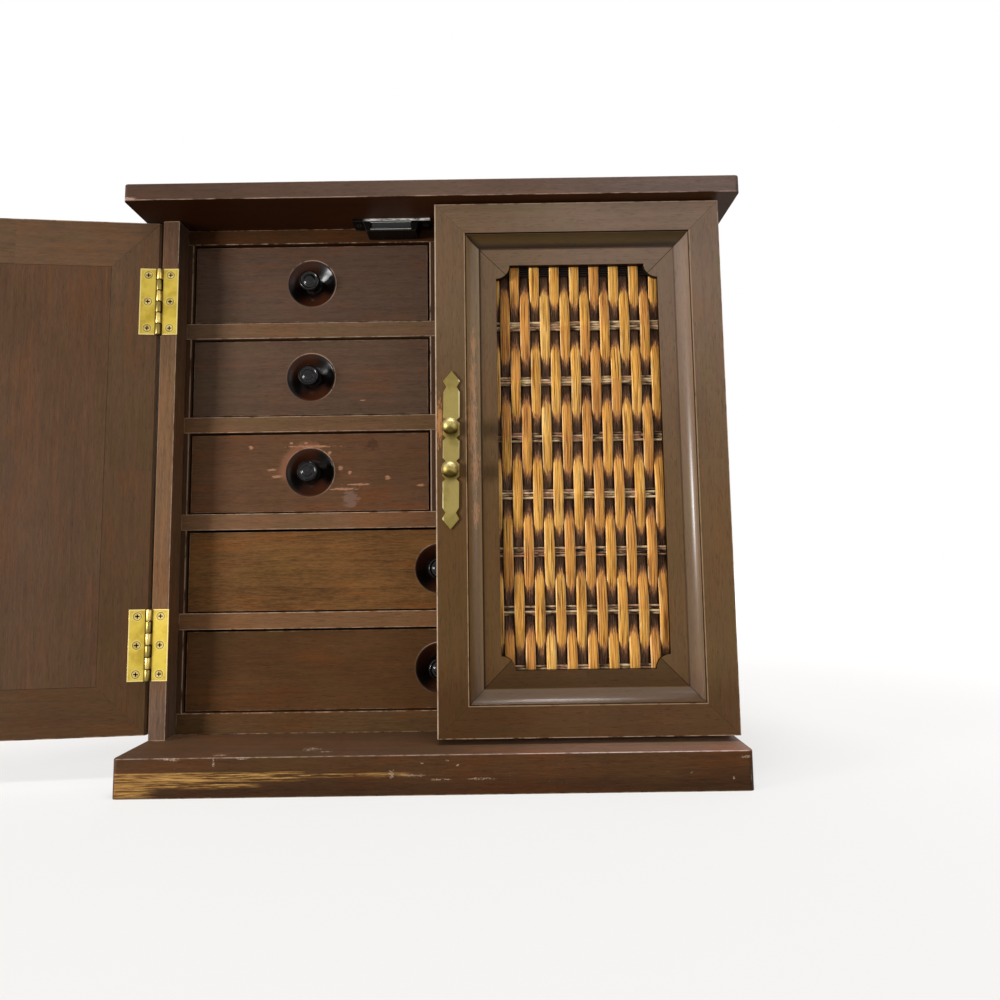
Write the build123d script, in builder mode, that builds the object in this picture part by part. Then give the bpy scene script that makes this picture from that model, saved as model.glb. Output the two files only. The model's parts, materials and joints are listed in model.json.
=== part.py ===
from build123d import *
import os
from math import cos, pi

# Desktop cabinet: a case of eight drawers behind two framed doors with woven splint panels.
# Millimetres. X runs to the right, Y to the back and Z up. The origin is on the underside of the
# base, midway between the sides and below their front edges. The right door is modelled shut and
# the left one open. Rows of drawers are numbered from the top.

# Case boards
case_width = 310.0  # over the outer faces of the sides
case_depth = 165.0  # front edges of the sides to the back
side_board = 9.5
back_board = 4.8
arris = 1.0  # the softened edge beside each hinge barrel
base_thickness = 19.05
base_front = 31.3  # ahead of the sides' front edges
base_side = 0.5  # beyond the outer face of each side
base_corner = 3.0
base_round = 0.8
top_thickness = 9.4
top_front = 22.6
top_side = 10.0
top_back = 4.0
top_corner = 2.4
top_round = 0.8

# Drawer bank
bank_recess = 11.4  # front edges of the rails behind the sides' front edges
row_heights = (47.4, 45.8, 46.4, 46.2, 45.3)  # the clear height of each row, from the top
split_rows = 3  # the upper rows hold two drawers each, and the others hold one
shelf_board = 9.1
bottom_rail_height = 11.45
top_rail_height = 8.7
divider_board = 9.5
guide_board = 3.1

# Drawers
front_setback = 1.5  # drawer faces behind the rails' front edges
front_board = 14.0
front_gap = 1.3  # beside and above each drawer front
front_lift = 0.8  # each drawer front above the floor of its row
slide_gap = 0.3  # under each drawer
rear_gap = 2.0
box_board = 6.0
box_drop = 5.0  # the top of the box below the top of its front
box_bottom = 3.0
box_bottom_lift = 2.5
glue_line = 0.05  # between boards that share a piece

# Turned knob in a dished recess
dish_radius = 14.0
dish_floor_radius = 4.8
dish_depth = 5.2
dish_lip = (1.1, 0.34)  # width and drop of the dish's rounded lip
lip_bulge = (0.5, 0.3)  # shares of the lip's width and drop that its curve passes through
knob_radius = 6.0
knob_stand = 6.3  # the knob's face ahead of the drawer's
head_height = 3.2
head_widest = 1.5  # behind the knob's face
shoulder_radius = 4.9  # where the head meets the neck
rim_radius = 5.1
rim_drop = 0.15  # the rim below the knob's face
groove_drop = 0.95  # the groove around the button below the knob's face
button_radius = 2.8
button_drop = 0.35  # the button's edge below the knob's face
button_round = (0.86, 0.14)  # share of the button's radius and drop that its rounded edge passes
button_flat = 0.55  # share of the button's radius that is flat
neck_radius = 3.0
foot_radius = 4.4
foot_height = 1.0
tenon_radius = 2.4
tenon_wall = 1.7  # wood left behind the tenon
tenon_gap = 0.1

# Butt hinges
leaf_thickness = 0.95
leaf_width = 10.5  # barrel centre to the leaf's outer edge
leaf_gap = 0.1  # between the two leaves of a shut hinge
hinge_height = 38.1
hinge_insets = (47.4, 46.1)  # the middle of each hinge from the door's bottom and top edges
barrel_radius = 1.4
barrel_clear = 0.6  # the leaves' cut-outs around the other leaf's knuckles
knuckle_lap = 0.2  # of a knuckle's tongue onto its leaf
knuckle_count = 6
knuckle_gap = 0.12
pin_radius = 0.8
pin_gap = 0.05
hinge_offset = 0.3  # barrel centre beyond the outer face of the side
leaf_screw_offset = 6.1  # barrel centre to the line of screws
leaf_screw_pitch = 15.3

# Countersunk cross-head screws
screw_head_radius = 1.85
screw_shank_radius = 1.15
screw_tip_radius = screw_shank_radius / 6
screw_length = 8.0
screw_gap = 0.06
screw_slot_length = 2.4
screw_slot_width = 0.65
screw_slot_depth = 0.8

# Doors
door_gap_middle = 1.9  # between the two shut doors
door_base_gap = 2.95
door_top_gap = 1.3
door_thickness = 14.0
left_door_open = 174.0  # degrees from shut
frame_width = 16.4
lip_width = 26.0  # the rear lip of the frame, from its outer edge
mitre_line = 0.04
quirk_width = 0.4
quirk_depth = 1.2  # below the frame's face
cove_top = 0.3  # below the frame's face
cove_land = 0.2
cove_end = 24.0  # from the door's outer edge
cove_sag = (0.3, 0.22)  # shares of the cove's width and height that its hollow passes through
band_depth = 4.0
cove_foot = 0.5
opening_inset = 33.0  # the moulding's inner edge from the door's outer edge
ear_radius = 7.4

# Woven panel and its backing
backing_board = 2.4
panel_gap = 0.15
splint_thickness = 1.0
splint_width = 5.0
splint_pitch = 5.47
splint_first = 32.1  # centre of the first splint from the door's meeting edge
rod_thickness = 1.6
rod_height = 4.5
rod_pitch = 30.9
rod_first = 32.4  # centre of the lowest rod from the door's bottom edge
weave_gap = 0.15  # between splints and rods, and under the moulding
backing_gap = 0.05  # between the splints and the backing

# Brass pull
pull_length = 84.0
pull_half_width = 4.3
pull_pinch = 2.75  # half width at each pinch and neck
pull_thickness = 0.9
pull_inset = 8.15  # the pull's centre line from the door's meeting edge
pull_rise = 6.8  # the pull's middle above the door's
pull_tilt = 0.85  # degrees
pull_pinches = (6.15, 15.6)  # from the pull's middle
pull_corner = 1.6
pull_shoulder = 30.66
pull_neck = 33.4
pull_barb = 36.6
pull_barb_half = 4.45
ball_radius = 4.5
ball_offset = 11.3  # from the pull's middle
ball_lift = 1.0  # neck between the plate and the ball
ball_neck_radius = 2.2
ball_shank_radius = 1.2
ball_shank_length = 8.0

# Magnetic catches
catch_centre = 25.3  # from the cabinet's middle
catch_front = 0.2  # behind the sides' front edges
catch_depth = 10.4
catch_flange_length = 44.5
catch_flange = 1.6
catch_drop = 7.3
catch_shoulder = 32.0  # length of the body under the flange
catch_foot = 28.4  # length of the body at its lower face
pole_length = 23.2
pole_thickness = 0.9
pole_stand = 0.8  # the pole plates ahead of the housing
pole_back = 9.0
magnet_thickness = 3.2
magnet_setback = 0.6
catch_floor = 0.55  # housing left under the lower pole plate
catch_screw_offset = 19.1
strike_length = 24.0
strike_height = 4.4
strike_thickness = 0.9

# Places worked out from the values above
row_count = len(row_heights)
case_height = (
    bottom_rail_height + sum(row_heights) + (row_count - 1) * shelf_board + top_rail_height
)
case_top = base_thickness + case_height
half_case = case_width / 2
half_inside = half_case - side_board
half_bank = half_inside - guide_board
back_face = case_depth - back_board
drawer_face = bank_recess + front_setback
row_floors = []
level = case_top - top_rail_height
for height in row_heights:
    level -= height
    row_floors.append(level)
    level -= shelf_board
door_gap = 2 * leaf_thickness + leaf_gap  # between the sides' edges and a shut door
hinge_x = half_case + hinge_offset
hinge_y = -door_gap / 2
door_width = half_case - door_gap_middle / 2
door_bottom = base_thickness + door_base_gap
door_height = case_top - door_top_gap - door_bottom
door_middle = door_bottom + door_height / 2
door_centre = door_gap_middle / 2 + door_width / 2
knuckle_length = hinge_height / knuckle_count
pull_level = door_middle + pull_rise
hinge_levels = (door_bottom + hinge_insets[0], door_bottom + door_height - hinge_insets[1])
catch_level = case_top - catch_drop + catch_floor + pole_thickness + magnet_thickness / 2
tenon_length = front_board - dish_depth - tenon_wall
weave_swing = (splint_thickness + rod_thickness) / 2 + weave_gap
weave_depth = 2 * weave_swing + splint_thickness
lip_height = backing_board + backing_gap + weave_depth + weave_gap


def save(piece, name):
    """Labels a finished piece and writes it."""
    piece.part.label = name
    export_step(piece.part, f"parts/{name}.step")


def facing_front(x, y, z):
    """A plane whose normal points out of the cabinet's front."""
    return Plane(origin=(x, y, z), x_dir=(1, 0, 0), z_dir=(0, -1, 0))


def facing_down(x, y, z):
    return Plane(origin=(x, y, z), x_dir=(1, 0, 0), z_dir=(0, 0, -1))


def door_plane(side):
    """A door's own plane: X across, Y up and Z out of its face, from the middle of its inner face.
    side is 1 for the right door and -1 for the left."""
    pivot = Vector(side * hinge_x, hinge_y, 0)
    centre = Vector(side * door_centre, -door_gap, door_middle)
    turn = 0 if side > 0 else -left_door_open
    return Plane(
        origin=pivot + (centre - pivot).rotate(Axis.Z, turn),
        x_dir=Vector(1, 0, 0).rotate(Axis.Z, turn),
        z_dir=Vector(0, -1, 0).rotate(Axis.Z, turn),
    )


def on_door(side, from_meeting, level, depth, outward=True):
    """A plane on a door, at a distance from its meeting edge and a height above the ground."""
    plane = door_plane(side)
    across = side * (from_meeting - door_width / 2)
    return Plane(
        origin=plane.from_local_coords((across, level - door_middle, depth)),
        x_dir=plane.x_dir,
        z_dir=plane.z_dir if outward else -plane.z_dir,
    )


def pull_plane(side, lift):
    """The plane of a door's pull, leaning a little out of plumb, at a height above the door's face."""
    seat = on_door(side, pull_inset, pull_level, door_thickness + lift)
    lean = seat.x_dir.rotate(Axis((0, 0, 0), seat.z_dir), -side * pull_tilt)
    return Plane(origin=seat.origin, x_dir=lean, z_dir=seat.z_dir)


def pull_posts(side, lift):
    """The planes of a pull's two ball knobs."""
    plane = pull_plane(side, lift)
    return [
        Plane(
            origin=plane.from_local_coords((0, step * ball_offset, 0)),
            x_dir=plane.x_dir,
            z_dir=plane.z_dir,
        )
        for step in (-1, 1)
    ]


def board(name, x_from, x_to, y_from, y_to, z_from, z_to):
    """A plain sawn board between six faces."""
    with BuildPart() as piece:
        with BuildSketch(Plane.XY.offset(z_from)):
            with Locations(((x_from + x_to) / 2, (y_from + y_to) / 2)):
                Rectangle(x_to - x_from, y_to - y_from)
        extrude(amount=z_to - z_from)
    save(piece, name)


def rounded_slab(name, half_width, y_from, y_to, z_from, thickness, corner, edge, screws=()):
    """A slab with rounded front corners and an eased upper edge at the front and sides, drilled
    from below at the seats of any screws."""
    with BuildPart() as slab:
        with BuildSketch(Plane.XY.offset(z_from)) as outline:
            with Locations((0, (y_from + y_to) / 2)):
                Rectangle(2 * half_width, y_to - y_from)
            fillet(outline.vertices().group_by(Axis.Y)[0], corner)
        extrude(amount=thickness)
        upper = slab.faces().sort_by(Axis.Z)[-1].edges().sort_by(Axis.Y)
        fillet(upper[:-1], edge)
        if screws:
            with Locations(*[facing_down(*seat) for seat in screws]):
                Hole(screw_shank_radius + screw_gap, screw_length - catch_flange)
    save(slab, name)


def hinge_screw_levels():
    """The heights of one side's hinge screws."""
    return [
        middle + step * leaf_screw_pitch for middle in hinge_levels for step in (-1, 0, 1)
    ]


def catch_screw_seats():
    """Where the catches' screws enter the top board."""
    return [
        (side * catch_centre + end * catch_screw_offset, catch_front + catch_depth / 2, case_top)
        for side in (-1, 1)
        for end in (-1, 1)
    ]


def cross_head_screw(length):
    """A screw along -Z, with the flat of its head at the origin."""
    cone_height = leaf_thickness
    tip = 2 * screw_shank_radius
    with BuildPart() as screw:
        Cone(
            screw_shank_radius,
            screw_head_radius,
            cone_height,
            align=(Align.CENTER, Align.CENTER, Align.MAX),
        )
        with Locations((0, 0, -cone_height)):
            Cylinder(
                screw_shank_radius,
                length - cone_height - tip,
                align=(Align.CENTER, Align.CENTER, Align.MAX),
            )
        with Locations((0, 0, tip - length)):
            Cone(
                screw_tip_radius,
                screw_shank_radius,
                tip,
                align=(Align.CENTER, Align.CENTER, Align.MAX),
            )
        with BuildSketch():
            Rectangle(screw_slot_length, screw_slot_width)
            Rectangle(screw_slot_width, screw_slot_length)
        extrude(amount=-screw_slot_depth, mode=Mode.SUBTRACT)
    return screw.part


def make_case_side(name, side):
    """One side of the case, drilled in its front edge for two hinges."""
    with BuildPart() as panel:
        with BuildSketch(Plane.XY.offset(base_thickness)):
            with Locations((side * (half_case - side_board / 2), case_depth / 2)):
                Rectangle(side_board, case_depth)
        extrude(amount=case_height)
        front_edges = panel.edges().filter_by(Axis.Z).group_by(Axis.Y)[0].sort_by(Axis.X)
        chamfer(front_edges[-1 if side > 0 else 0], arris)
        seat = side * (hinge_x - leaf_screw_offset)
        with Locations(*[facing_front(seat, 0, z) for z in hinge_screw_levels()]):
            Hole(screw_shank_radius + screw_gap, screw_length)
    save(panel, name)


def make_bank():
    """The shelves, rails, dividers and guides that make the drawer openings."""
    for number in range(1, row_count):
        top = row_floors[number - 1]
        board(
            f"shelf_{number}",
            -half_inside, half_inside, bank_recess, back_face, top - shelf_board, top,
        )
    upper = case_top - top_rail_height
    board("top_rail", -half_inside, half_inside, bank_recess, back_face, upper, case_top)
    lower = base_thickness + bottom_rail_height
    board("bottom_rail", -half_inside, half_inside, bank_recess, back_face, base_thickness, lower)
    middle = (bank_recess + back_face) / 2
    length = back_face - bank_recess
    with BuildPart() as dividers:
        for floor, height in list(zip(row_floors, row_heights))[:split_rows]:
            with BuildSketch(Plane.XY.offset(floor)):
                with Locations((0, middle)):
                    Rectangle(divider_board, length)
            extrude(amount=height)
    save(dividers, "centre_dividers")
    with BuildPart() as guides:
        for floor, height in zip(row_floors, row_heights):
            with BuildSketch(Plane.XY.offset(floor)):
                across = half_inside - guide_board / 2
                with Locations((-across, middle), (across, middle)):
                    Rectangle(guide_board, length)
            extrude(amount=height)
    save(guides, "side_guides")


def make_drawer(name, x_from, x_to, row):
    """A drawer front with its dished recess, the box behind it and the turned knob."""
    left, right = x_from + front_gap, x_to - front_gap
    low = row_floors[row] + slide_gap
    high = row_floors[row] + row_heights[row] - front_gap
    middle, level = (left + right) / 2, row_floors[row] + row_heights[row] / 2
    lower_edge = row_floors[row] + front_lift
    turning = Plane(origin=(middle, drawer_face, level), x_dir=(1, 0, 0), z_dir=(0, 0, 1))
    spindle = Axis(turning.origin, (0, 1, 0))

    with BuildPart() as front:
        over_edge = (lower_edge + high) / 2
        with BuildSketch(facing_front(middle, drawer_face + front_board, over_edge)):
            Rectangle(right - left, high - lower_edge)
        extrude(amount=front_board)
        with BuildSketch(turning):
            with BuildLine():
                lip = (dish_radius - dish_lip[0], dish_lip[1])
                Line((0, 0), (dish_radius, 0))
                ThreePointArc(
                    (dish_radius, 0),
                    (dish_radius - lip_bulge[0] * dish_lip[0], lip_bulge[1] * dish_lip[1]),
                    lip,
                )
                Polyline(lip, (dish_floor_radius, dish_depth), (0, dish_depth), (0, 0))
            make_face()
        revolve(axis=spindle, mode=Mode.SUBTRACT)
        with Locations(facing_front(middle, drawer_face + dish_depth, level)):
            Hole(tenon_radius + tenon_gap, tenon_length + tenon_gap)
    save(front, f"{name}_front")

    box_start = drawer_face + front_board
    box_end = back_face - rear_gap
    box_top = high - box_drop
    inner_left, inner_right = left + box_board, right - box_board
    with BuildPart() as box:
        with BuildSketch(Plane.XY.offset(low)):
            between = (box_start + glue_line + box_end) / 2
            with Locations(
                (left + box_board / 2, between), (right - box_board / 2, between)
            ):
                Rectangle(box_board, box_end - box_start - glue_line)
            with Locations((middle, box_end - box_board / 2)):
                Rectangle(inner_right - inner_left - 2 * glue_line, box_board)
        extrude(amount=box_top - low)
        with BuildSketch(Plane.XY.offset(low + box_bottom_lift)):
            inner_end = box_end - box_board
            with Locations((middle, (box_start + inner_end) / 2)):
                Rectangle(
                    inner_right - inner_left - 2 * glue_line,
                    inner_end - box_start - 2 * glue_line,
                )
        extrude(amount=box_bottom)
    save(box, f"{name}_box")

    face = -knob_stand
    foot = (foot_radius, dish_depth - foot_height)
    shoulder = (shoulder_radius, face + head_height)
    rim = (rim_radius, face + rim_drop)
    button = (button_radius, face + button_drop)
    flat = (button_flat * button_radius, face)
    with BuildPart() as knob:
        with BuildSketch(turning):
            with BuildLine():
                Polyline(
                    (0, face),
                    (0, dish_depth + tenon_length),
                    (tenon_radius, dish_depth + tenon_length),
                    (tenon_radius, dish_depth),
                    (foot_radius, dish_depth),
                    foot,
                )
                ThreePointArc(foot, (neck_radius, (foot[1] + shoulder[1]) / 2), shoulder)
                ThreePointArc(shoulder, (knob_radius, face + head_widest), rim)
                groove = ((rim[0] + button_radius) / 2, face + groove_drop)
                ThreePointArc(rim, groove, button)
                rounded = (button_round[0] * button_radius, face + button_round[1])
                ThreePointArc(button, rounded, flat)
                Line(flat, (0, face))
            make_face()
        revolve(axis=spindle)
    save(knob, f"{name}_knob")


def make_leaf(wood, own):
    """One hinge leaf. Its plane starts on the barrel's axis at the hinge's middle, with X along the
    leaf, Y along the barrel and Z towards the wood. own lists the knuckles that the leaf carries,
    counted from the lowest."""
    lift = door_gap / 2 - leaf_thickness
    cut_back = barrel_radius + barrel_clear
    seats = [
        Plane(
            origin=wood.from_local_coords((leaf_screw_offset, step * leaf_screw_pitch, lift)),
            x_dir=wood.x_dir,
            z_dir=-wood.z_dir,
        )
        for step in (-1, 0, 1)
    ]
    with BuildPart() as leaf:
        with BuildSketch(wood.offset(lift)):
            with Locations(((leaf_width + cut_back) / 2, 0)):
                Rectangle(leaf_width - cut_back, hinge_height)
        extrude(amount=leaf_thickness)
        for number in own:
            middle = wood.y_dir.Z * ((number + 0.5) * knuckle_length - hinge_height / 2)
            length = knuckle_length - knuckle_gap
            with BuildSketch(wood.offset(lift)):
                with Locations(((cut_back + knuckle_lap) / 2, middle)):
                    Rectangle(cut_back + knuckle_lap, length)
            extrude(amount=leaf_thickness)
            barrel = Plane(
                origin=wood.from_local_coords((0, middle, 0)),
                x_dir=wood.x_dir,
                z_dir=wood.y_dir,
            )
            with BuildSketch(barrel):
                Circle(barrel_radius)
            extrude(amount=length / 2, both=True)
            with BuildSketch(barrel):
                Circle(pin_radius + pin_gap)
            extrude(amount=length, both=True, mode=Mode.SUBTRACT)
        with Locations(*seats):
            Hole(screw_shank_radius + screw_gap, leaf_thickness)
            Cone(
                screw_shank_radius + screw_gap,
                screw_head_radius + screw_gap,
                leaf_thickness,
                align=(Align.CENTER, Align.CENTER, Align.MAX),
                mode=Mode.SUBTRACT,
            )
    return leaf.part


def case_leaf_plane(side, level):
    return Plane(origin=(side * hinge_x, hinge_y, level), x_dir=(-side, 0, 0), z_dir=(0, 1, 0))


def door_leaf_plane(side, level):
    start = on_door(side, door_width + hinge_offset, level, -door_gap / 2)
    return Plane(origin=start.origin, x_dir=-side * start.x_dir, z_dir=start.z_dir)


def make_hinges():
    """Two butt hinges for each door, whose leaves carry every other knuckle: the door's leaf starts
    with the lowest."""
    outer = range(0, knuckle_count, 2)
    inner = range(1, knuckle_count, 2)
    for side, hand in ((-1, "left"), (1, "right")):
        with BuildPart() as case_leaves:
            for level in hinge_levels:
                add(make_leaf(case_leaf_plane(side, level), inner))
        save(case_leaves, f"hinge_{hand}_case_leaves")
        with BuildPart() as door_leaves:
            for level in hinge_levels:
                add(make_leaf(door_leaf_plane(side, level), outer))
        save(door_leaves, f"hinge_{hand}_door_leaves")
    with BuildPart() as pins:
        with Locations(
            *[(side * hinge_x, hinge_y, level) for side in (-1, 1) for level in hinge_levels]
        ):
            Cylinder(pin_radius, hinge_height)
    save(pins, "hinge_pins")


def make_catches():
    """A magnetic catch for each door, screwed under the top."""
    half_flange = catch_flange_length / 2
    pole_top = case_top - catch_drop + catch_floor + 2 * pole_thickness + magnet_thickness
    pole_low = case_top - catch_drop + catch_floor
    mouth = catch_front + pole_back
    with BuildPart() as housings:
        for side in (-1, 1):
            with BuildSketch(facing_front(side * catch_centre, catch_front, case_top)):
                with BuildLine():
                    Polyline(
                        (-half_flange, 0),
                        (half_flange, 0),
                        (half_flange, -catch_flange),
                        (catch_shoulder / 2, -catch_flange),
                        (catch_foot / 2, -catch_drop),
                        (-catch_foot / 2, -catch_drop),
                        (-catch_shoulder / 2, -catch_flange),
                        (-half_flange, -catch_flange),
                        close=True,
                    )
                make_face()
            extrude(amount=-catch_depth)
            with BuildSketch(Plane.XY.offset(pole_low)):
                with Locations((side * catch_centre, (catch_front + mouth) / 2)):
                    Rectangle(pole_length + 2 * glue_line, mouth - catch_front)
            extrude(amount=pole_top - pole_low, mode=Mode.SUBTRACT)
        with Locations(
            *[facing_down(x, y, case_top - catch_flange) for x, y, z in catch_screw_seats()]
        ):
            Hole(screw_shank_radius + screw_gap, catch_flange)
            Cone(
                screw_shank_radius + screw_gap,
                screw_head_radius + screw_gap,
                leaf_thickness,
                align=(Align.CENTER, Align.CENTER, Align.MAX),
                mode=Mode.SUBTRACT,
            )
    save(housings, "catch_housings")
    with BuildPart() as poles:
        for lowest in (pole_low, pole_top - pole_thickness):
            with BuildSketch(Plane.XY.offset(lowest)):
                start = catch_front - pole_stand
                with Locations(*[(s * catch_centre, (start + mouth) / 2) for s in (-1, 1)]):
                    Rectangle(pole_length, mouth - start)
            extrude(amount=pole_thickness)
    save(poles, "catch_pole_plates")
    with BuildPart() as magnets:
        with BuildSketch(Plane.XY.offset(pole_low + pole_thickness)):
            start = catch_front + magnet_setback
            with Locations(*[(s * catch_centre, (start + mouth) / 2) for s in (-1, 1)]):
                Rectangle(pole_length - 1, mouth - start)
        extrude(amount=magnet_thickness)
    save(magnets, "catch_magnets")


def frame_side(number, outer, inner):
    """The four corners of one mitred side of a door's frame, between two insets from its outline.
    Sides are numbered right, top, left, bottom."""
    half = (door_width / 2, door_height / 2)
    points = []
    for inset, ends in ((outer, (-1, 1)), (inner, (1, -1))):
        for end in ends:
            out = half[number % 2] - inset
            along = half[1 - number % 2] - inset - mitre_line
            hand = 1 if number < 2 else -1
            points.append((hand * out, end * along) if number % 2 == 0 else (end * along, hand * out))
    return points


def make_moulding_strip(plane, number):
    """One mitred strip of the cove moulding that holds the woven panel, with half an ear at each end."""
    across = Vector(1, 0, 0) if number % 2 == 0 else Vector(0, 1, 0)
    hand = 1 if number < 2 else -1
    reach = (door_width if number % 2 == 0 else door_height) / 2
    length = door_height if number % 2 == 0 else door_width
    edge = plane.from_local_coords(across * hand * reach)
    inward = (plane.origin - edge).normalized()
    section = Plane(origin=edge, x_dir=inward, z_dir=inward.cross(plane.z_dir))
    quirk_end = frame_width + quirk_width
    crest = door_thickness - cove_top
    band = door_thickness - band_depth
    ears = [
        (sx * (door_width / 2 - opening_inset), sy * (door_height / 2 - opening_inset))
        for sx in (-1, 1)
        for sy in (-1, 1)
    ]
    with BuildPart() as strip:
        with BuildSketch(section):
            with BuildLine():
                Polyline(
                    (cove_end, band + cove_foot),
                    (cove_end, band),
                    (opening_inset, band),
                    (opening_inset, lip_height),
                    (frame_width, lip_height),
                    (frame_width, door_thickness - quirk_depth),
                    (quirk_end, door_thickness - quirk_depth),
                    (quirk_end, crest),
                    (quirk_end + cove_land, crest),
                )
                ThreePointArc(
                    (quirk_end + cove_land, crest),
                    (
                        quirk_end + cove_land + cove_sag[0] * (cove_end - quirk_end),
                        band + cove_foot + cove_sag[1] * (crest - band),
                    ),
                    (cove_end, band + cove_foot),
                )
            make_face()
        extrude(amount=length / 2, both=True)
        with BuildSketch(plane.offset(lip_height)):
            with Locations(*ears):
                Circle(ear_radius)
        extrude(amount=band - lip_height)
        with BuildSketch(plane):
            Polygon(*frame_side(number, frame_width, opening_inset + ear_radius), align=None)
        extrude(amount=door_thickness, mode=Mode.INTERSECT)
    return strip.part


def make_weave(name, side):
    """Flat splints that pass in front of and behind a ladder of rods."""
    plane = door_plane(side)
    pocket = lip_width + panel_gap
    half_width, half_height = door_width / 2 - pocket, door_height / 2 - pocket
    rod_depth = backing_board + backing_gap + weave_depth / 2
    lowest_rod = rod_first - door_height / 2
    rod_count = int((half_height - rod_height / 2 - lowest_rod) / rod_pitch) + 1
    splint_count = int((door_width - pocket - splint_width / 2 - splint_first) / splint_pitch) + 1
    ends = int(half_height * 2 / rod_pitch) + 2
    with BuildPart() as weave:
        for number in range(splint_count):
            x = side * (splint_first + number * splint_pitch - door_width / 2)
            origin = plane.from_local_coords((x, 0, 0))
            ribbon = Plane(origin=origin, x_dir=plane.y_dir, z_dir=plane.x_dir)
            sign = 1 if number % 2 else -1
            turns = [
                lowest_rod + step * rod_pitch / 2
                for step in range(-2, 2 * ends)
                if abs(lowest_rod + step * rod_pitch / 2) < half_height - rod_pitch / 8
            ]
            heights = [-half_height, *turns, half_height]
            line = [
                (h, rod_depth + sign * weave_swing * cos(pi * (h - lowest_rod) / rod_pitch))
                for h in heights
            ]
            low = [(h, d - splint_thickness / 2) for h, d in line]
            high = [(h, d + splint_thickness / 2) for h, d in line]
            with BuildSketch(ribbon):
                with BuildLine():
                    Spline(*low)
                    Line(low[-1], high[-1])
                    Spline(*high)
                    Line(high[0], low[0])
                make_face()
            extrude(amount=splint_width / 2, both=True)
        for number in range(rod_count):
            with BuildSketch(plane.offset(rod_depth - rod_thickness / 2)):
                with Locations((0, lowest_rod + number * rod_pitch)):
                    Rectangle(2 * half_width, rod_height)
            extrude(amount=rod_thickness)
    save(weave, name)


def pull_outline():
    """The pull plate's corners, anticlockwise from its lower tip."""
    half = pull_length / 2
    upper = []
    for pinch in pull_pinches:
        upper += [
            (pull_half_width, pinch - pull_corner),
            (pull_pinch, pinch),
            (pull_half_width, pinch + pull_corner),
        ]
    upper += [
        (pull_half_width, pull_shoulder),
        (pull_pinch, pull_neck),
        (pull_barb_half, pull_barb),
        (0, half),
    ]
    right = [(x, -y) for x, y in reversed(upper)] + upper
    return right + [(-x, y) for x, y in reversed(right[1:-1])]


def make_pull(name, side):
    """A waisted brass plate with two ball knobs, on the meeting stile."""
    with BuildPart() as pull:
        with BuildSketch(pull_plane(side, 0)):
            with BuildLine():
                Polyline(*pull_outline(), close=True)
            make_face()
        extrude(amount=pull_thickness)
        with Locations(*pull_posts(side, pull_thickness)):
            Hole(ball_shank_radius + screw_gap, pull_thickness)
    with BuildPart() as post:
        Cylinder(
            ball_neck_radius, 2 * ball_lift, align=(Align.CENTER, Align.CENTER, Align.MIN)
        )
        with Locations((0, 0, ball_lift + ball_radius)):
            Sphere(ball_radius)
        Cylinder(
            ball_shank_radius, ball_shank_length, align=(Align.CENTER, Align.CENTER, Align.MAX)
        )
    with BuildPart() as whole:
        add(pull.part)
        with Locations(*pull_posts(side, pull_thickness + glue_line)):
            add(post.part)
    save(whole, name)


def make_door(hand, side):
    """A mitred frame with a rear lip, its moulding, the woven panel, its backing and the brass."""
    plane = door_plane(side)
    hinge_side = 0 if side > 0 else 2
    levels = hinge_screw_levels()
    leaf_seats = [
        on_door(side, door_width + hinge_offset - leaf_screw_offset, z, 0, False) for z in levels
    ]
    strike_seat = on_door(side, catch_centre - door_gap_middle / 2, catch_level, 0, False)
    with BuildPart() as frame:
        for number in range(4):
            with BuildSketch(plane):
                Polygon(*frame_side(number, 0, lip_width), align=None)
            extrude(amount=lip_height)
            with BuildSketch(plane.offset(lip_height)):
                Polygon(*frame_side(number, 0, frame_width), align=None)
            extrude(amount=door_thickness - lip_height)
        with BuildSketch(
            Plane(
                origin=plane.from_local_coords((side * door_width / 2, 0, 0)),
                x_dir=-side * plane.x_dir,
                z_dir=(-side * plane.x_dir).cross(plane.z_dir),
            )
        ):
            Polygon((0, 0), (arris, 0), (0, arris), align=None)
        extrude(amount=door_height, both=True, mode=Mode.SUBTRACT)
        with Locations(*leaf_seats):
            Hole(screw_shank_radius + screw_gap, screw_length)
        with Locations(strike_seat):
            Hole(screw_shank_radius + screw_gap, screw_length)
        with Locations(*pull_posts(side, 0)):
            Hole(ball_shank_radius + screw_gap, ball_shank_length)
    save(frame, f"door_{hand}_frame")

    with BuildPart() as moulding:
        for number in range(4):
            add(make_moulding_strip(plane, number))
    save(moulding, f"door_{hand}_moulding")

    with BuildPart() as backing:
        with BuildSketch(plane):
            pocket = 2 * (lip_width + panel_gap)
            Rectangle(door_width - pocket, door_height - pocket)
        extrude(amount=backing_board)
    save(backing, f"door_{hand}_backing")

    make_weave(f"door_{hand}_weave", side)
    make_pull(f"door_{hand}_pull", side)

    with BuildPart() as strike:
        with BuildSketch(strike_seat):
            SlotOverall(strike_length, strike_height)
        extrude(amount=strike_thickness)
        with Locations(strike_seat.offset(strike_thickness)):
            Hole(screw_shank_radius + screw_gap, strike_thickness)
            Cone(
                screw_shank_radius + screw_gap,
                screw_head_radius + screw_gap,
                leaf_thickness,
                align=(Align.CENTER, Align.CENTER, Align.MAX),
                mode=Mode.SUBTRACT,
            )
    save(strike, f"door_{hand}_strike")

    with BuildPart() as screws:
        with Locations(*[seat.offset(leaf_thickness) for seat in leaf_seats]):
            add(cross_head_screw(screw_length))
        with Locations(strike_seat.offset(strike_thickness)):
            add(cross_head_screw(screw_length))
    save(screws, f"door_{hand}_screws")


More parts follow.
